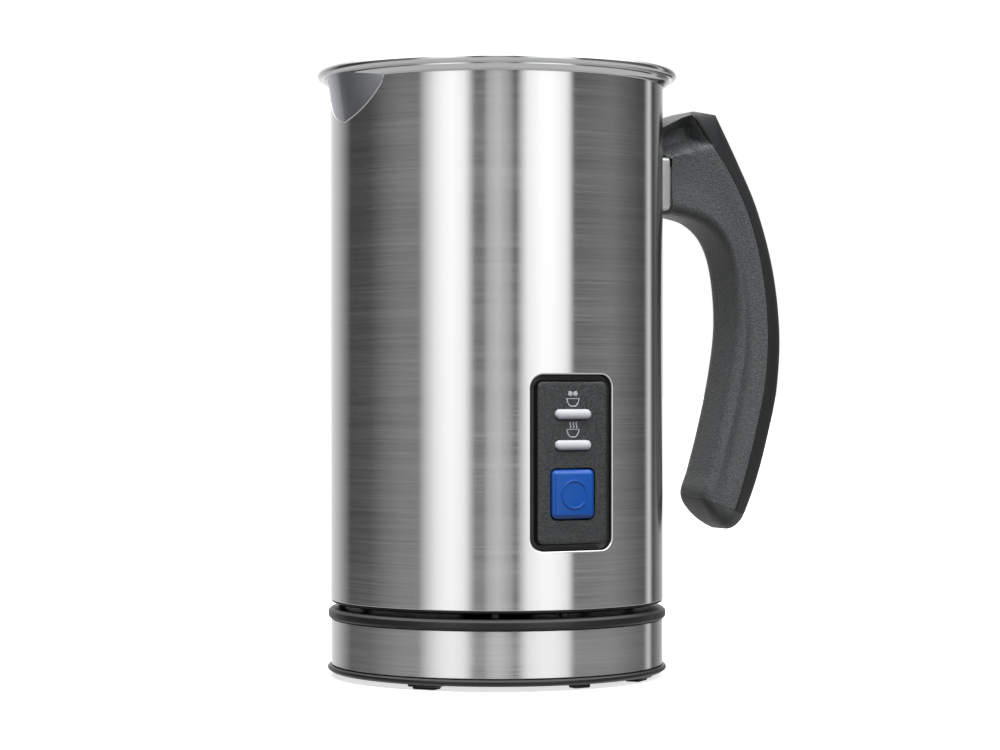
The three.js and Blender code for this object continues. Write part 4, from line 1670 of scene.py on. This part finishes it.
    def signs(self) -> None:
        """Builds the two signs: a cup under foam, and a cup under steam."""
        paths = [(self.cup(height), True) for height in self.cup_heights]
        for side in (-1, 1):
            paths += [(self.foam(side, size), True) for size in (1.0, 0.5)]
        paths += [(self.steam(place), False) for place in self.steam_places]
        points: list[Point] = []
        edges: list[tuple[int, int]] = []
        for path, closed in paths:
            start = len(points)
            points += [(x, self.face + self.sign_line * 0.55, z) for x, z in path]
            edges += [(start + a, start + b) for a, b in chain(path, closed)]
        lines = self.shared.sweep.run(
            "panel_signs", points, edges, Radius=self.sign_line * MM, Sides=8, Material=ICON_GREY.material()
        )
        settle(lines, Body.JUG, ICON_GREY, Slot.BLACK, "control_panel")

    def push_button(self) -> None:
        """Builds the blue button with the ring on its face."""
        front = self.button_face
        levels = [
            (1.0, -46.9), (1.0, -47.8), (0.0, -47.8), (0.0, front + 1.2), (-0.06, front + 0.98),
            (-0.25, front + 0.72), (-0.95, front + 0.22), (-1.12, front + 0.12), (-1.32, front + 0.04),
            (-1.6, front),
        ]
        cap = Blank().stack(self.button, levels, parts=10).piece("button_face")
        settle(cap, Body.BUTTON, BUTTON_BLUE, Slot.BLUE, "button_cap")
        middle = self.button.middle_z
        ring = []
        for angle in range(0, 360, 5):
            x, z, _ = polar(self.ring_radius, angle)
            ring.append((x, front + 0.1, middle + z))
        line = self.shared.sweep.run(
            "button_ring", ring, chain(ring, True), Radius=self.ring_line * MM, Sides=8,
            Material=BUTTON_BLUE.material(),
        )
        settle(line, Body.BUTTON, BUTTON_BLUE, Slot.BLUE, "button_cap")
        stem = rod("button_stem", 2.0, (0, -47.2, middle), (0, -44.7, middle), 32)
        settle(stem, Body.BUTTON, BUTTON_BLUE, Slot.BLUE, "button_cap")


# ---------------------------------------------------------------- handle


@dataclass
class Handle:
    """The grip, its outer cover and end, and the steel bracket."""

    width: float = 20.0
    tip_start: float = 0.93
    bracket_low: float = 152.5
    bracket_high: float = 170.0
    bracket_depth: float = 5.7
    bracket_gap: float = 0.9
    bracket_width: float = 19.0
    shell_radius: float = 54.03
    neck: float = 1.5
    seam: float = 0.03
    edge_round: float = 4.0
    chamfer: float = 3.0
    ridge: float = 0.35
    valley: float = 0.8
    valley_fade: Flat = (0.78, 0.92)
    cover_least: float = 0.9
    hollow_depth: float = 7.4
    hollow_slope: Flat = (-0.4, 4.4)
    hollow_across: Flat = (3.0, 8.0)
    steps: int = 150
    corner_clear: float = 0.004
    corner_step: float = 0.0025
    end_steps: int = 26
    end_turn: float = 88.0
    end_fullness: float = 0.7
    inner: tuple[Flat, ...] = (
        (57, 151.6), (65, 150.8), (73, 148.8), (79.2, 144.6), (83.1, 138.4), (85.2, 130), (86.1, 118),
        (85.3, 107), (82.7, 92.5), (79.1, 78), (75.4, 65.5), (72.9, 57.4), (76.8, 49.6),
    )
    outer: tuple[Flat, ...] = (
        (54.5, 180.6), (62, 183.5), (70.0, 186.0), (78.6, 185.1), (87.6, 168.8), (95.2, 153.2), (101.3, 133),
        (103.9, 112), (102.8, 93), (99.4, 78), (95.1, 63.5), (90.4, 52.0), (85.8, 44.0),
    )
    corners: tuple[int, ...] = (2, 3)
    seam_line: tuple[Flat, ...] = (
        (50, 176.6), (60, 181.2), (67.8, 185.4), (69.9, 183.2), (76.1, 174.2), (82.6, 165.3), (89.1, 153.4),
        (94.4, 137.3), (97.4, 117), (96.8, 97.7), (93.0, 79.4), (88.4, 63.2), (84.6, 52.5), (79, 40),
    )
    seam_corner: int = 2
    seam_steps: int = 72
    seam_reach: float = 0.8
    hollow: tuple[tuple[Flat, Flat], ...] = (
        ((54.0, 178.0), (67.4, 185.4)),
        ((69.4, 186.0), (77.4, 173.6)),
        ((77.4, 175.2), (54.0, 168.6)),
    )

    def build(self) -> None:
        """Builds the handle."""
        self.grip()
        self.cover()
        self.end()
        self.bracket()

    def depth(self, t: float) -> float:
        """Returns the depth from the inner to the outer side."""
        near, far = self.line(t)
        return (near - far).length

    def along(self, t: float, depth: float, across: float) -> Point:
        """Puts a point of the handle's section in space.

        Args:
            t: Share of the way from the root to the end.
            depth: Distance from the inner side.
            across: Distance from the middle plane.

        Returns:
            The point.
        """
        near, far = self.line(t)
        at = near.lerp(far, depth / (far - near).length)
        return (at.x, across, at.y)

    def line(self, t: float) -> tuple[Vector, Vector]:
        """Returns the inner and the outer point of the line across the handle."""
        return spline(self.inner, t), spline(self.outer, t, self.corners)

    def cover_at(self, t: float) -> float:
        """Depth of the cover along the line across the handle, where that line meets the seam.

        Args:
            t: Share of the way along the handle.

        Returns:
            The depth.
        """
        near, far = self.line(t)
        across = near - far
        found = 1.0
        shares = [step / self.seam_steps for step in range(self.seam_steps + 1)]
        path = [spline(self.seam_line, share, (self.seam_corner,)) for share in shares]
        for one, other in zip(path, path[1:]):
            start, run = one - far, other - one
            turn = across.x * run.y - across.y * run.x
            if abs(turn) < 1e-9:
                continue
            along = (start.x * run.y - start.y * run.x) / turn
            place = (start.x * across.y - start.y * across.x) / turn
            if 0 <= place <= 1 and 0 < along < self.seam_reach:
                found = along * across.length
                break
        return max(found, self.cover_least)

    def half_width(self, t: float, depth: float, body: float) -> float:
        """Half of the grip's width at a depth: a round edge, a soft ridge and a shallow valley.

        Args:
            t: Share of the way along the handle.
            depth: Distance from the inner side.
            body: Depth of the whole grip there.

        Returns:
            Half of the width.
        """
        half, edge = self.width / 2 - self.ridge, min(self.edge_round, body * 0.6)
        if depth < edge:
            left = 1 - depth / edge
            return half - edge * (1 - math.sqrt(max(1 - left * left, 0.0)))
        share = (depth - edge) / max(body - edge, 0.1)
        fade = 1 - smooth(t, *self.valley_fade)
        valley = self.valley * smooth(share, -0.1, 0.3) * (1 - smooth(share, 0.3, 1.0)) * fade
        return half - valley + self.ridge * smooth(share, 0.35, 1.0)

    def scoop(self, rho: float, height: float) -> float:
        """Depth of the hollow on either side of the root.

        Args:
            rho: Distance from the jug's axis.
            height: Height above the table.

        Returns:
            How far the surface sinks there.
        """
        nearest = math.inf
        for (x1, z1), (x2, z2) in self.hollow:
            run, rise = x2 - x1, z2 - z1
            away = (run * (z1 - height) - rise * (x1 - rho)) / math.hypot(run, rise)
            nearest = min(nearest, away)
        return self.hollow_depth * smooth(nearest, *self.hollow_slope)

    def root(self, point: Point) -> Point:
        """Keeps a point off the shell and the bracket.

        Args:
            point: The point.

        Returns:
            The point, moved out where it has to be.
        """
        x, y, z = point
        least = math.sqrt(max(self.shell_radius**2 - y * y, 0.0))
        if z <= self.bracket_high + 0.7:
            least = max(least, 54 + self.bracket_depth + self.bracket_gap)
        return (max(x, least), y, z)

    def section(self, t: float, low: float, high: float, parts: int = 26) -> list[Flat]:
        """Closed section of the handle between two depths.

        Args:
            t: Share of the way along the handle.
            low: The depth where it starts.
            high: The depth where it ends.
            parts: Points on each side.

        Returns:
            Points of depth and width across.
        """
        whole = self.depth(t)
        strip = self.cover_at(t)
        body = whole - strip
        side: list[Flat] = []
        for part in range(parts + 1):
            share = part / parts
            depth = mix(low, high, share * share * 0.35 + share * 0.65 if low < 0.01 else share)
            half = self.half_width(t, depth, body) if depth < body else self.width / 2
            drop = max(depth - body - strip * 0.12, 0.0) / (strip * 0.88)
            half -= self.chamfer * (drop * 0.86 + 0.14 * drop**6)
            side.append((depth, half))
        return side + [(depth, -half) for depth, half in reversed(side)]

    def shift(self, t: float, depth: float, across: float) -> Point:
        """Puts a grip's point in space, with the scoop taken out of its side.

        Args:
            t: Share of the way along the handle.
            depth: Distance from the inner side.
            across: Distance from the middle plane.

        Returns:
            The point.
        """
        x, _, z = self.along(t, depth, 0)
        sunk = self.scoop(x, z) * smooth(abs(across), *self.hollow_across)
        return self.root(self.along(t, depth, math.copysign(max(abs(across) - sunk, 0.0), across)))

    def loft(self, name: str, places: Sequence[float], outline: Callable[[float], list[Flat]]) -> Object:
        """Lofts a section along the handle.

        Args:
            name: The piece's name.
            places: Shares of the way where there is a section.
            outline: The section at a share of the way.

        Returns:
            The piece.
        """
        rows = [[self.shift(t, depth, across) for depth, across in outline(t)] for t in places]
        return Blank().rows(rows).piece(name, math.radians(42))

    def places(self, end: float) -> list[float]:
        """Shares of the way from the root, with three close together at each corner.

        Args:
            end: The last share.

        Returns:
            The shares, in order.
        """
        even = [end * step / self.steps for step in range(self.steps + 1)]
        bends = [corner / (len(self.outer) - 1) for corner in self.corners]
        kept = [t for t in even if all(abs(t - bend) > self.corner_clear for bend in bends)]
        around = (-self.corner_step, 0.0, self.corner_step)
        return sorted(kept + [bend + away for bend in bends for away in around])

    def grip(self) -> None:
        """Builds the grained grip."""

        def outline(t: float) -> list[Flat]:
            """Section of the grip.

            Args:
                t: Share of the way along the handle.

            Returns:
                Points of depth and width across.
            """
            high = self.depth(t) - self.cover_at(t) - self.seam
            made = self.section(t, 0.0, high - 0.3, 28)
            ends = [(high - 0.1, 1.0), (high, 0.985)]
            half = self.width / 2
            right = [(depth, half * share) for depth, share in ends]
            left = [(depth, -half * share) for depth, share in reversed(ends)]
            middle = len(made) // 2
            return made[:middle] + right + left + made[middle:]

        grip = self.loft("handle_grained_grip", self.places(self.tip_start), outline)
        settle(grip, Body.JUG, GRIP_BLACK, Slot.BLACK, "handle_grip")

    def cover(self) -> None:
        """Builds the smooth strip along the outside."""

        def outline(t: float) -> list[Flat]:
            """Section of the cover.

            Args:
                t: Share of the way along the handle.

            Returns:
                Points of depth and width across.
            """
            whole = self.depth(t)
            low = whole - self.cover_at(t) + self.seam
            made = self.section(t, low + 0.3, whole, 22)
            half = self.width / 2
            near = low + 0.1
            return [(low, half * 0.985), (near, half), *made, (near, -half), (low, -half * 0.985)]

        cover = self.loft("handle_smooth_cover", self.places(self.tip_start), outline)
        settle(cover, Body.JUG, SATIN_BLACK, Slot.BLACK, "handle_cover")

    def end(self) -> None:
        """Builds the rounded end."""
        first, last = self.tip_start + 0.001, 0.999
        angles = [math.radians(self.end_turn * step / self.end_steps) for step in range(self.end_steps + 1)]
        sizes = {mix(first, last, math.sin(angle)): math.cos(angle) ** self.end_fullness for angle in angles}

        def outline(t: float) -> list[Flat]:
            """Section of the end, which shrinks towards the tip.

            Args:
                t: Share of the way along the handle.

            Returns:
                Points of depth and width across.
            """
            whole = self.depth(t)
            size, middle = sizes[t], whole * 0.5
            made = self.section(t, 0.0, whole, 30)
            return [(middle + (depth - middle) * size, across * size) for depth, across in made]

        tip = self.loft("handle_end", list(sizes), outline)
        settle(tip, Body.JUG, END_BLACK, Slot.BLACK, "handle_cover")

    def bracket(self) -> None:
        """Builds the steel block between the shell and the grip."""
        low, high = self.bracket_low, self.bracket_high
        shape = RoundedRect(self.bracket_width, high - low, 1.4, 0.0, (low + high) / 2)
        end = 54 + self.bracket_depth
        levels = [
            (0, 53.2), (0, end - 0.5), (-0.15, end - 0.15), (-0.5, end), (-self.neck, end),
            (-self.neck, end + self.bracket_gap + 0.6),
        ]
        blank = Blank().stack(shape, levels, Facing.SIDE, 6)
        radius = self.shell_radius
        blank.moved(lambda p: (max(p[0], math.sqrt(radius**2 - p[1] ** 2)), p[1], p[2]))
        block = blank.piece("handle_steel_bracket")
        settle(block, Body.JUG, BRACKET_STEEL, Slot.BRUSHED, "handle_bracket")


# ---------------------------------------------------------------- lid and whisk


@dataclass
class Lid:
    """The clear lid, its seal and its knob."""

    height: float = 181.0
    radius: float = 49.4
    knob_top: float = 194.0

    def build(self) -> None:
        """Builds the lid."""
        top = self.height
        outline = eased(
            [
                (3.2, top + 1.6), (20, top + 1.2, 20), (44, top, 8), (46.4, top - 0.6, 0.6),
                (46.4, 177, 0.3), (self.radius, 177, 0.3), (self.radius, 182.6, 1.2), (46, top + 2.6, 2),
                (20, 184.6, 20), (3.2, 184.9),
            ]
        )
        panel = Blank().turn(outline).piece("lid_clear_panel")
        settle(panel, Body.LID, LID_CLEAR, Slot.CLEAR, "lid_panel")
        seal = eased(
            [
                (49.7, 178.2), (50.4, 177.6, 0.3), (51.7, 178.4, 0.3), (50.6, 179.4, 0.3), (51.7, 180.6, 0.3),
                (50.4, 181.6, 0.3), (49.7, 181.6),
            ]
        )
        ring = Blank().turn(seal).piece("lid_ring_seal")
        settle(ring, Body.LID, SEAL_GREY, Slot.SILICONE, "lid_seal")
        knob = eased(
            [
                (0, 179.8), (5.6, 179.8, 0.4), (5.6, 182), (2.9, 182), (2.9, 185.2), (8, 185.2, 0.4),
                (9, 188, 3), (12, 191.4, 1.5), (12.2, 192.8, 0.7), (11.2, self.knob_top - 0.3, 0.8),
                (9, self.knob_top, 2), (6.4, self.knob_top - 0.1, 2), (0, self.knob_top - 0.7),
            ],
            steps=6,
        )
        grip = Blank().turn(knob, 96).piece("lid_turned_knob")
        settle(grip, Body.LID, SATIN_BLACK, Slot.BLACK, "lid_knob")


@dataclass
class Whisk:
    """The whisk: its hub, its wire frame and the spring round it."""

    shared: Shared
    low: float = 106.2
    ring: float = 17.0
    coil: float = 2.5
    wire: float = 0.42
    turns: int = 34
    turn_points: int = 16
    middle: float = 3.4
    frame_wire: float = 0.8
    arm_angles: tuple[float, ...] = (90, 210, 330)
    arm_start: float = 6.2
    arm_parts: int = 6

    def build(self) -> None:
        """Builds the whisk."""
        outline = eased(
            [
                (2.9, 0), (5, 0, 0.3), (5, 5, 0.4), (4, 12, 1), (4, 15.6, 0.5), (5.4, 16.6, 0.4),
                (5.4, 18, 0.5), (4.4, 18.8, 0.5), (0, 18.8), (0, 12.1), (2.9, 12.1),
            ]
        )
        hub = Blank().turn([(r, z + self.low) for r, z in outline], 48).piece("whisk_moulded_hub")
        settle(hub, Body.WHISK, SATIN_BLACK, Slot.BLACK, "whisk_hub")
        height = self.low + self.middle
        collar = eased([(5.3, 1.2), (6.6, 1.2, 0.4), (6.6, 5, 0.4), (5.3, 5)])
        sleeve = Blank().turn([(r, z + self.low) for r, z in collar], 48).piece("whisk_collar")
        settle(sleeve, Body.WHISK, WIRE_STEEL, Slot.POLISHED, "whisk_frame")
        points: list[Point] = [polar(self.ring, angle, height) for angle in range(0, 360, 5)]
        edges = chain(points, True)
        shares = [part / self.arm_parts for part in range(self.arm_parts + 1)]
        for angle in self.arm_angles:
            start = len(points)
            arm = [polar(mix(self.arm_start, self.ring, share), angle, height) for share in shares]
            points += arm
            edges += [(start + a, start + b) for a, b in chain(arm)]
        wires = self.shared.sweep.run(
            "whisk_wire_frame", points, edges, Radius=self.frame_wire * MM, Sides=12,
            Material=WIRE_STEEL.material(),
        )
        settle(wires, Body.WHISK, WIRE_STEEL, Slot.POLISHED, "whisk_frame")
        spring = self.shared.coil.run(
            "whisk_spring", [(0, 0, 0)], [], math.radians(60), Ring=self.ring * MM, Coil=self.coil * MM,
            Wire=self.wire * MM, Height=height * MM, Turns=self.turns,
            Points=self.turns * self.turn_points, Material=WIRE_STEEL.material(),
        )
        settle(spring, Body.WHISK, WIRE_STEEL, Slot.POLISHED, "whisk_coil")


@dataclass
class DriveShaft:
    """The shaft that stands through the pot's floor, and the seal round it."""

    radius: float = 1.6
    top: float = 118.0

    def build(self) -> None:
        """Builds the shaft and the seal."""
        outline = eased(
            [
                (0, 46.2), (self.radius, 46.2), (self.radius, 105.4, 0.1), (2.6, 105.6, 0.2),
                (2.6, self.top - 0.8, 0.4), (1.8, self.top, 0.4), (0, self.top),
            ]
        )
        shaft = Blank().turn(outline, 40).piece("rotor_shaft")
        settle(shaft, Body.ROTOR, WIRE_STEEL, Slot.POLISHED, "drive_shaft")
        outline = eased(
            [
                (1.9, 101), (5, 101), (5, 102.8), (5.1, 103.3), (7.6, 103.3, 0.15), (7, 104.4, 0.5),
                (3.4, 104.8, 0.5), (1.9, 104.8),
            ]
        )
        seal = Blank().turn(outline, 48).piece("pot_shaft_seal")
        settle(seal, Body.JUG, SEAL_GREY, Slot.SILICONE, "shaft_seal")


@dataclass(frozen=True)
class InnerWorks:
    """Finishes of the nodes inside, whose shapes stay."""

    finishes: tuple[tuple[Finish, tuple[str, ...]], ...] = (
        (INNER_BLACK, ("chassis", "motor_end_cap", "switch_plunger")),
        (ALUMINIUM, ("heater_plate",)),
        (SEAL_GREY, ("thermal_fuse",)),
        (MAGNET, ("motor_magnet_1", "motor_magnet_2")),
        (BRASS, ("lower_bearing", "upper_bearing")),
        (COPPER, ("commutator",)),
        (LAMP_CLEAR, ("light_1", "light_2")),
        (BOARD_GREEN, ("control_board",)),
        (
            ZINC,
            (
                "heating_element", "thermostat", "temperature_sensor", "motor_bracket", "motor_can",
                "tact_switch", "handle_screw", "motor_armature",
            ),
        ),
    )

    def dress(self) -> None:
        """Gives each node its finish."""
        for finish, names in self.finishes:
            for name in names:
                node = frame["nodes"][name]
                if not node.material_slots:
                    node.data.materials.append(finish.material())
                for place in node.material_slots:
                    place.material = finish.material()
                log.info("%s keeps its shape and gets %s", name, finish.name)


# ---------------------------------------------------------------- studio


@dataclass
class Studio:
    """Camera, floor and light: angles are in degrees, and the lamps' places and sizes in metres."""

    lens: float = 98.35
    sensor: float = 36.0
    seen_from: float = 0.05
    seen_to: float = 80.0
    distance: float = 890.7
    height: float = 93.7
    aside: float = 1.0
    azimuth: float = -26.4
    tilt: float = 0.246
    floor_size: float = 40000.0
    # painted light: the floor's glow near the object and far off, and the distances in metres over which one
    # fades into the other
    floor_glow_near: float = 0.7
    floor_glow_far: float = 1.1
    floor_glow_fade: Flat = (0.14, 0.7)
    backdrop: float = 1.0
    overhead_place: Point = (-0.3, -0.75, 1.35)
    overhead_size: Flat = (1.6, 1.2)
    overhead_power: float = 32.0
    side_place: Point = (0.6, 1.1, 0.5)
    side_size: Flat = (0.7, 1.0)
    side_power: float = 6.0
    ground: float = 0.45
    ground_edge: Flat = (0.1, 0.34)
    ceiling: float = 2.6
    ceiling_edge: Flat = (0.45, 0.9)
    mirrored: float = 1.2
    scattered: float = 0.18
    walls: tuple[Flat, ...] = (
        (-180, 0.8), (-143, 0.41), (-121, 0.04), (-97, 0.04), (-84, 0.09), (-69, 0.13), (-55, 0.12),
        (-51, 0.38), (-43, 0.76), (-38, 0.9), (-31, 0.98), (-22, 0.84), (-18, 0.42), (-15, 0.09),
        (-9, 0.1), (-6, 0.32), (1, 0.43), (9, 0.25), (13, 0.02), (17, 0.46), (21, 0.82), (31, 1.0),
        (38, 1.0), (46, 0.88), (50, 0.74), (54, 0.07), (85, 0.13), (123, 0.04), (130, 0.62),
        (136, 0.02), (157, 0.3), (180, 0.8),
    )

    def build(self) -> None:
        """Builds the studio round the object."""
        self.camera()
        self.floor()
        self.surroundings()
        towards, right = self.directions()
        near, beside, up = self.side_place
        side = towards * near + right * beside + Vector((0, 0, up))
        self.soft_box("overhead", Vector(self.overhead_place), self.overhead_size, self.overhead_power)
        self.soft_box("side", side, self.side_size, self.side_power)
        view = bpy.context.scene.view_settings
        view.view_transform = "Standard"
        view.look = "None"

    def directions(self) -> tuple[Vector, Vector]:
        """Returns the directions from the object to the camera and to the camera's right."""
        angle = math.radians(self.azimuth)
        return Vector((math.sin(angle), -math.cos(angle), 0)), Vector((math.cos(angle), math.sin(angle), 0))

    def camera(self) -> None:
        """Makes the camera."""
        towards, right = self.directions()
        data = bpy.data.cameras.new("camera")
        data.lens = self.lens
        data.sensor_width = self.sensor
        data.clip_start, data.clip_end = self.seen_from, self.seen_to
        made = bpy.data.objects.new("camera", data)
        bpy.context.scene.collection.objects.link(made)
        made.location = (towards * self.distance + right * self.aside + Vector((0, 0, self.height))) * MM
        made.rotation_euler = (math.radians(90 + self.tilt), 0, math.radians(self.azimuth))
        bpy.context.scene.camera = made

    def floor(self) -> None:
        """Makes the pale floor, which the steel doesn't mirror; its glow is painted light, dimmer near the
        object and brighter far off.
        """
        half = self.floor_size / 2
        mesh = bpy.data.meshes.new("floor")
        corners = [(-half, -half, 0), (half, -half, 0), (half, half, 0), (-half, half, 0)]
        mesh.from_pydata([Vector(corner) * MM for corner in corners], [], [(0, 1, 2, 3)])
        made = bpy.data.objects.new("floor", mesh)
        bpy.context.scene.collection.objects.link(made)
        made.visible_glossy = False
        made.visible_diffuse = False
        paper = bpy.data.materials.new("glowing_pale_floor")
        paper.use_nodes = True
        paper.node_tree.nodes.clear()
        graph = Graph(paper.node_tree)
        way = graph.node("ShaderNodeTexCoord").outputs["Object"]
        away = graph.value(graph.node("ShaderNodeVectorMath", {"operation": "LENGTH"}, {0: way}), "Value")
        # painted light: the floor glows by emission, less near the object and more far off, so that it reads
        # white out to the horizon
        near, far = (self.floor_glow_near,) * 3, (self.floor_glow_far,) * 3
        inputs = {
            "Base Color": (0.9, 0.9, 0.9, 1),
            "Roughness": 0.9,
            "Specular IOR Level": 0.0,
            "Emission Color": graph.blend(away.step(*self.floor_glow_fade), near, far),
            "Emission Strength": 1.0,
        }
        shader = graph.node("ShaderNodeBsdfPrincipled", {}, inputs)
        graph.node("ShaderNodeOutputMaterial", {}, {"Surface": shader.outputs[0]})
        mesh.materials.append(paper)

    def surroundings(self) -> None:
        """Makes the room: two tall soft boxes and dark flags between them, bright above."""
        towards, right = self.directions()
        world = bpy.data.worlds.new("studio")
        bpy.context.scene.world = world
        world.use_nodes = True
        world.node_tree.nodes.clear()
        graph = Graph(world.node_tree)
        way = graph.node("ShaderNodeTexCoord").outputs["Generated"]
        aside = graph.node("ShaderNodeVectorMath", {"operation": "DOT_PRODUCT"}, {0: way, 1: right})
        ahead = graph.node("ShaderNodeVectorMath", {"operation": "DOT_PRODUCT"}, {0: way, 1: towards})
        turn = graph.value(aside, "Value").work("ARCTAN2", graph.value(ahead, "Value"))
        stops = [((angle + 180) / 360, grey) for angle, grey in self.walls]
        ramp = graph.node("ShaderNodeValToRGB", {"stops": stops}, {0: turn / math.tau + 0.5})
        rise = graph.value(graph.node("ShaderNodeSeparateXYZ", {}, {0: way}), 2)
        high, low = rise.step(*self.ceiling_edge), (0 - rise).step(*self.ground_edge)
        settings = {"data_type": "RGBA"}
        inputs = {0: low, 6: ramp.outputs[0], 7: (self.ground, self.ground, self.ground, 1)}
        ground = graph.node("ShaderNodeMix", settings, inputs).outputs[2]
        inputs = {0: high, 6: ground, 7: (self.ceiling, self.ceiling, self.ceiling, 1)}
        share = graph.node("ShaderNodeMix", settings, inputs).outputs[2]
        scattered = graph.value(graph.node("ShaderNodeLightPath"), "Is Diffuse Ray")
        strength = scattered * (self.scattered - self.mirrored) + self.mirrored
        light = graph.node("ShaderNodeBackground", {}, {"Color": share, "Strength": strength})
        paper = graph.node("ShaderNodeBackground", {}, {"Color": (1, 1, 1, 1), "Strength": self.backdrop})
        seen = graph.node("ShaderNodeLightPath").outputs["Is Camera Ray"]
        both = graph.node("ShaderNodeMixShader", {}, {0: seen, 1: light.outputs[0], 2: paper.outputs[0]})
        graph.node("ShaderNodeOutputWorld", {}, {"Surface": both.outputs[0]})

    def soft_box(self, name: str, place: Vector, size: Flat, power: float) -> None:
        """Makes a large soft lamp that the steel doesn't mirror.

        Args:
            name: The lamp's name.
            place: Where it hangs, in metres.
            size: Its width and height, in metres.
            power: Its power in watts.
        """
        data = bpy.data.lights.new(name, "AREA")
        data.shape = "RECTANGLE"
        data.size, data.size_y = size
        data.energy = power
        made = bpy.data.objects.new(name, data)
        bpy.context.scene.collection.objects.link(made)
        made.location = place
        made.rotation_euler = (Vector((0, 0, 0.1)) - place).to_track_quat("-Z", "Y").to_euler()
        made.visible_glossy = False


def main() -> None:
    """Builds every assembly round the frame."""
    logging.basicConfig(level=logging.INFO, format="%(name)s: %(message)s")
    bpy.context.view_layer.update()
    Studio().build()
    shared = Shared()
    opening = RoundedRect(width=28.2, height=54.3, radius=4.0, middle_z=70.25)
    assemblies = [
        PowerBase(shared),
        JugSocket(),
        JugWalls(shared, LipShape(), opening),
        JugBottom(shared),
        ControlPanel(shared, opening),
        Handle(),
        Lid(),
        Whisk(shared),
        DriveShaft(),
    ]
    for assembly in assemblies:
        log.info("building %s", type(assembly).__name__)
        assembly.build()
    InnerWorks().dress()


if __name__ == "__main__":
    main()
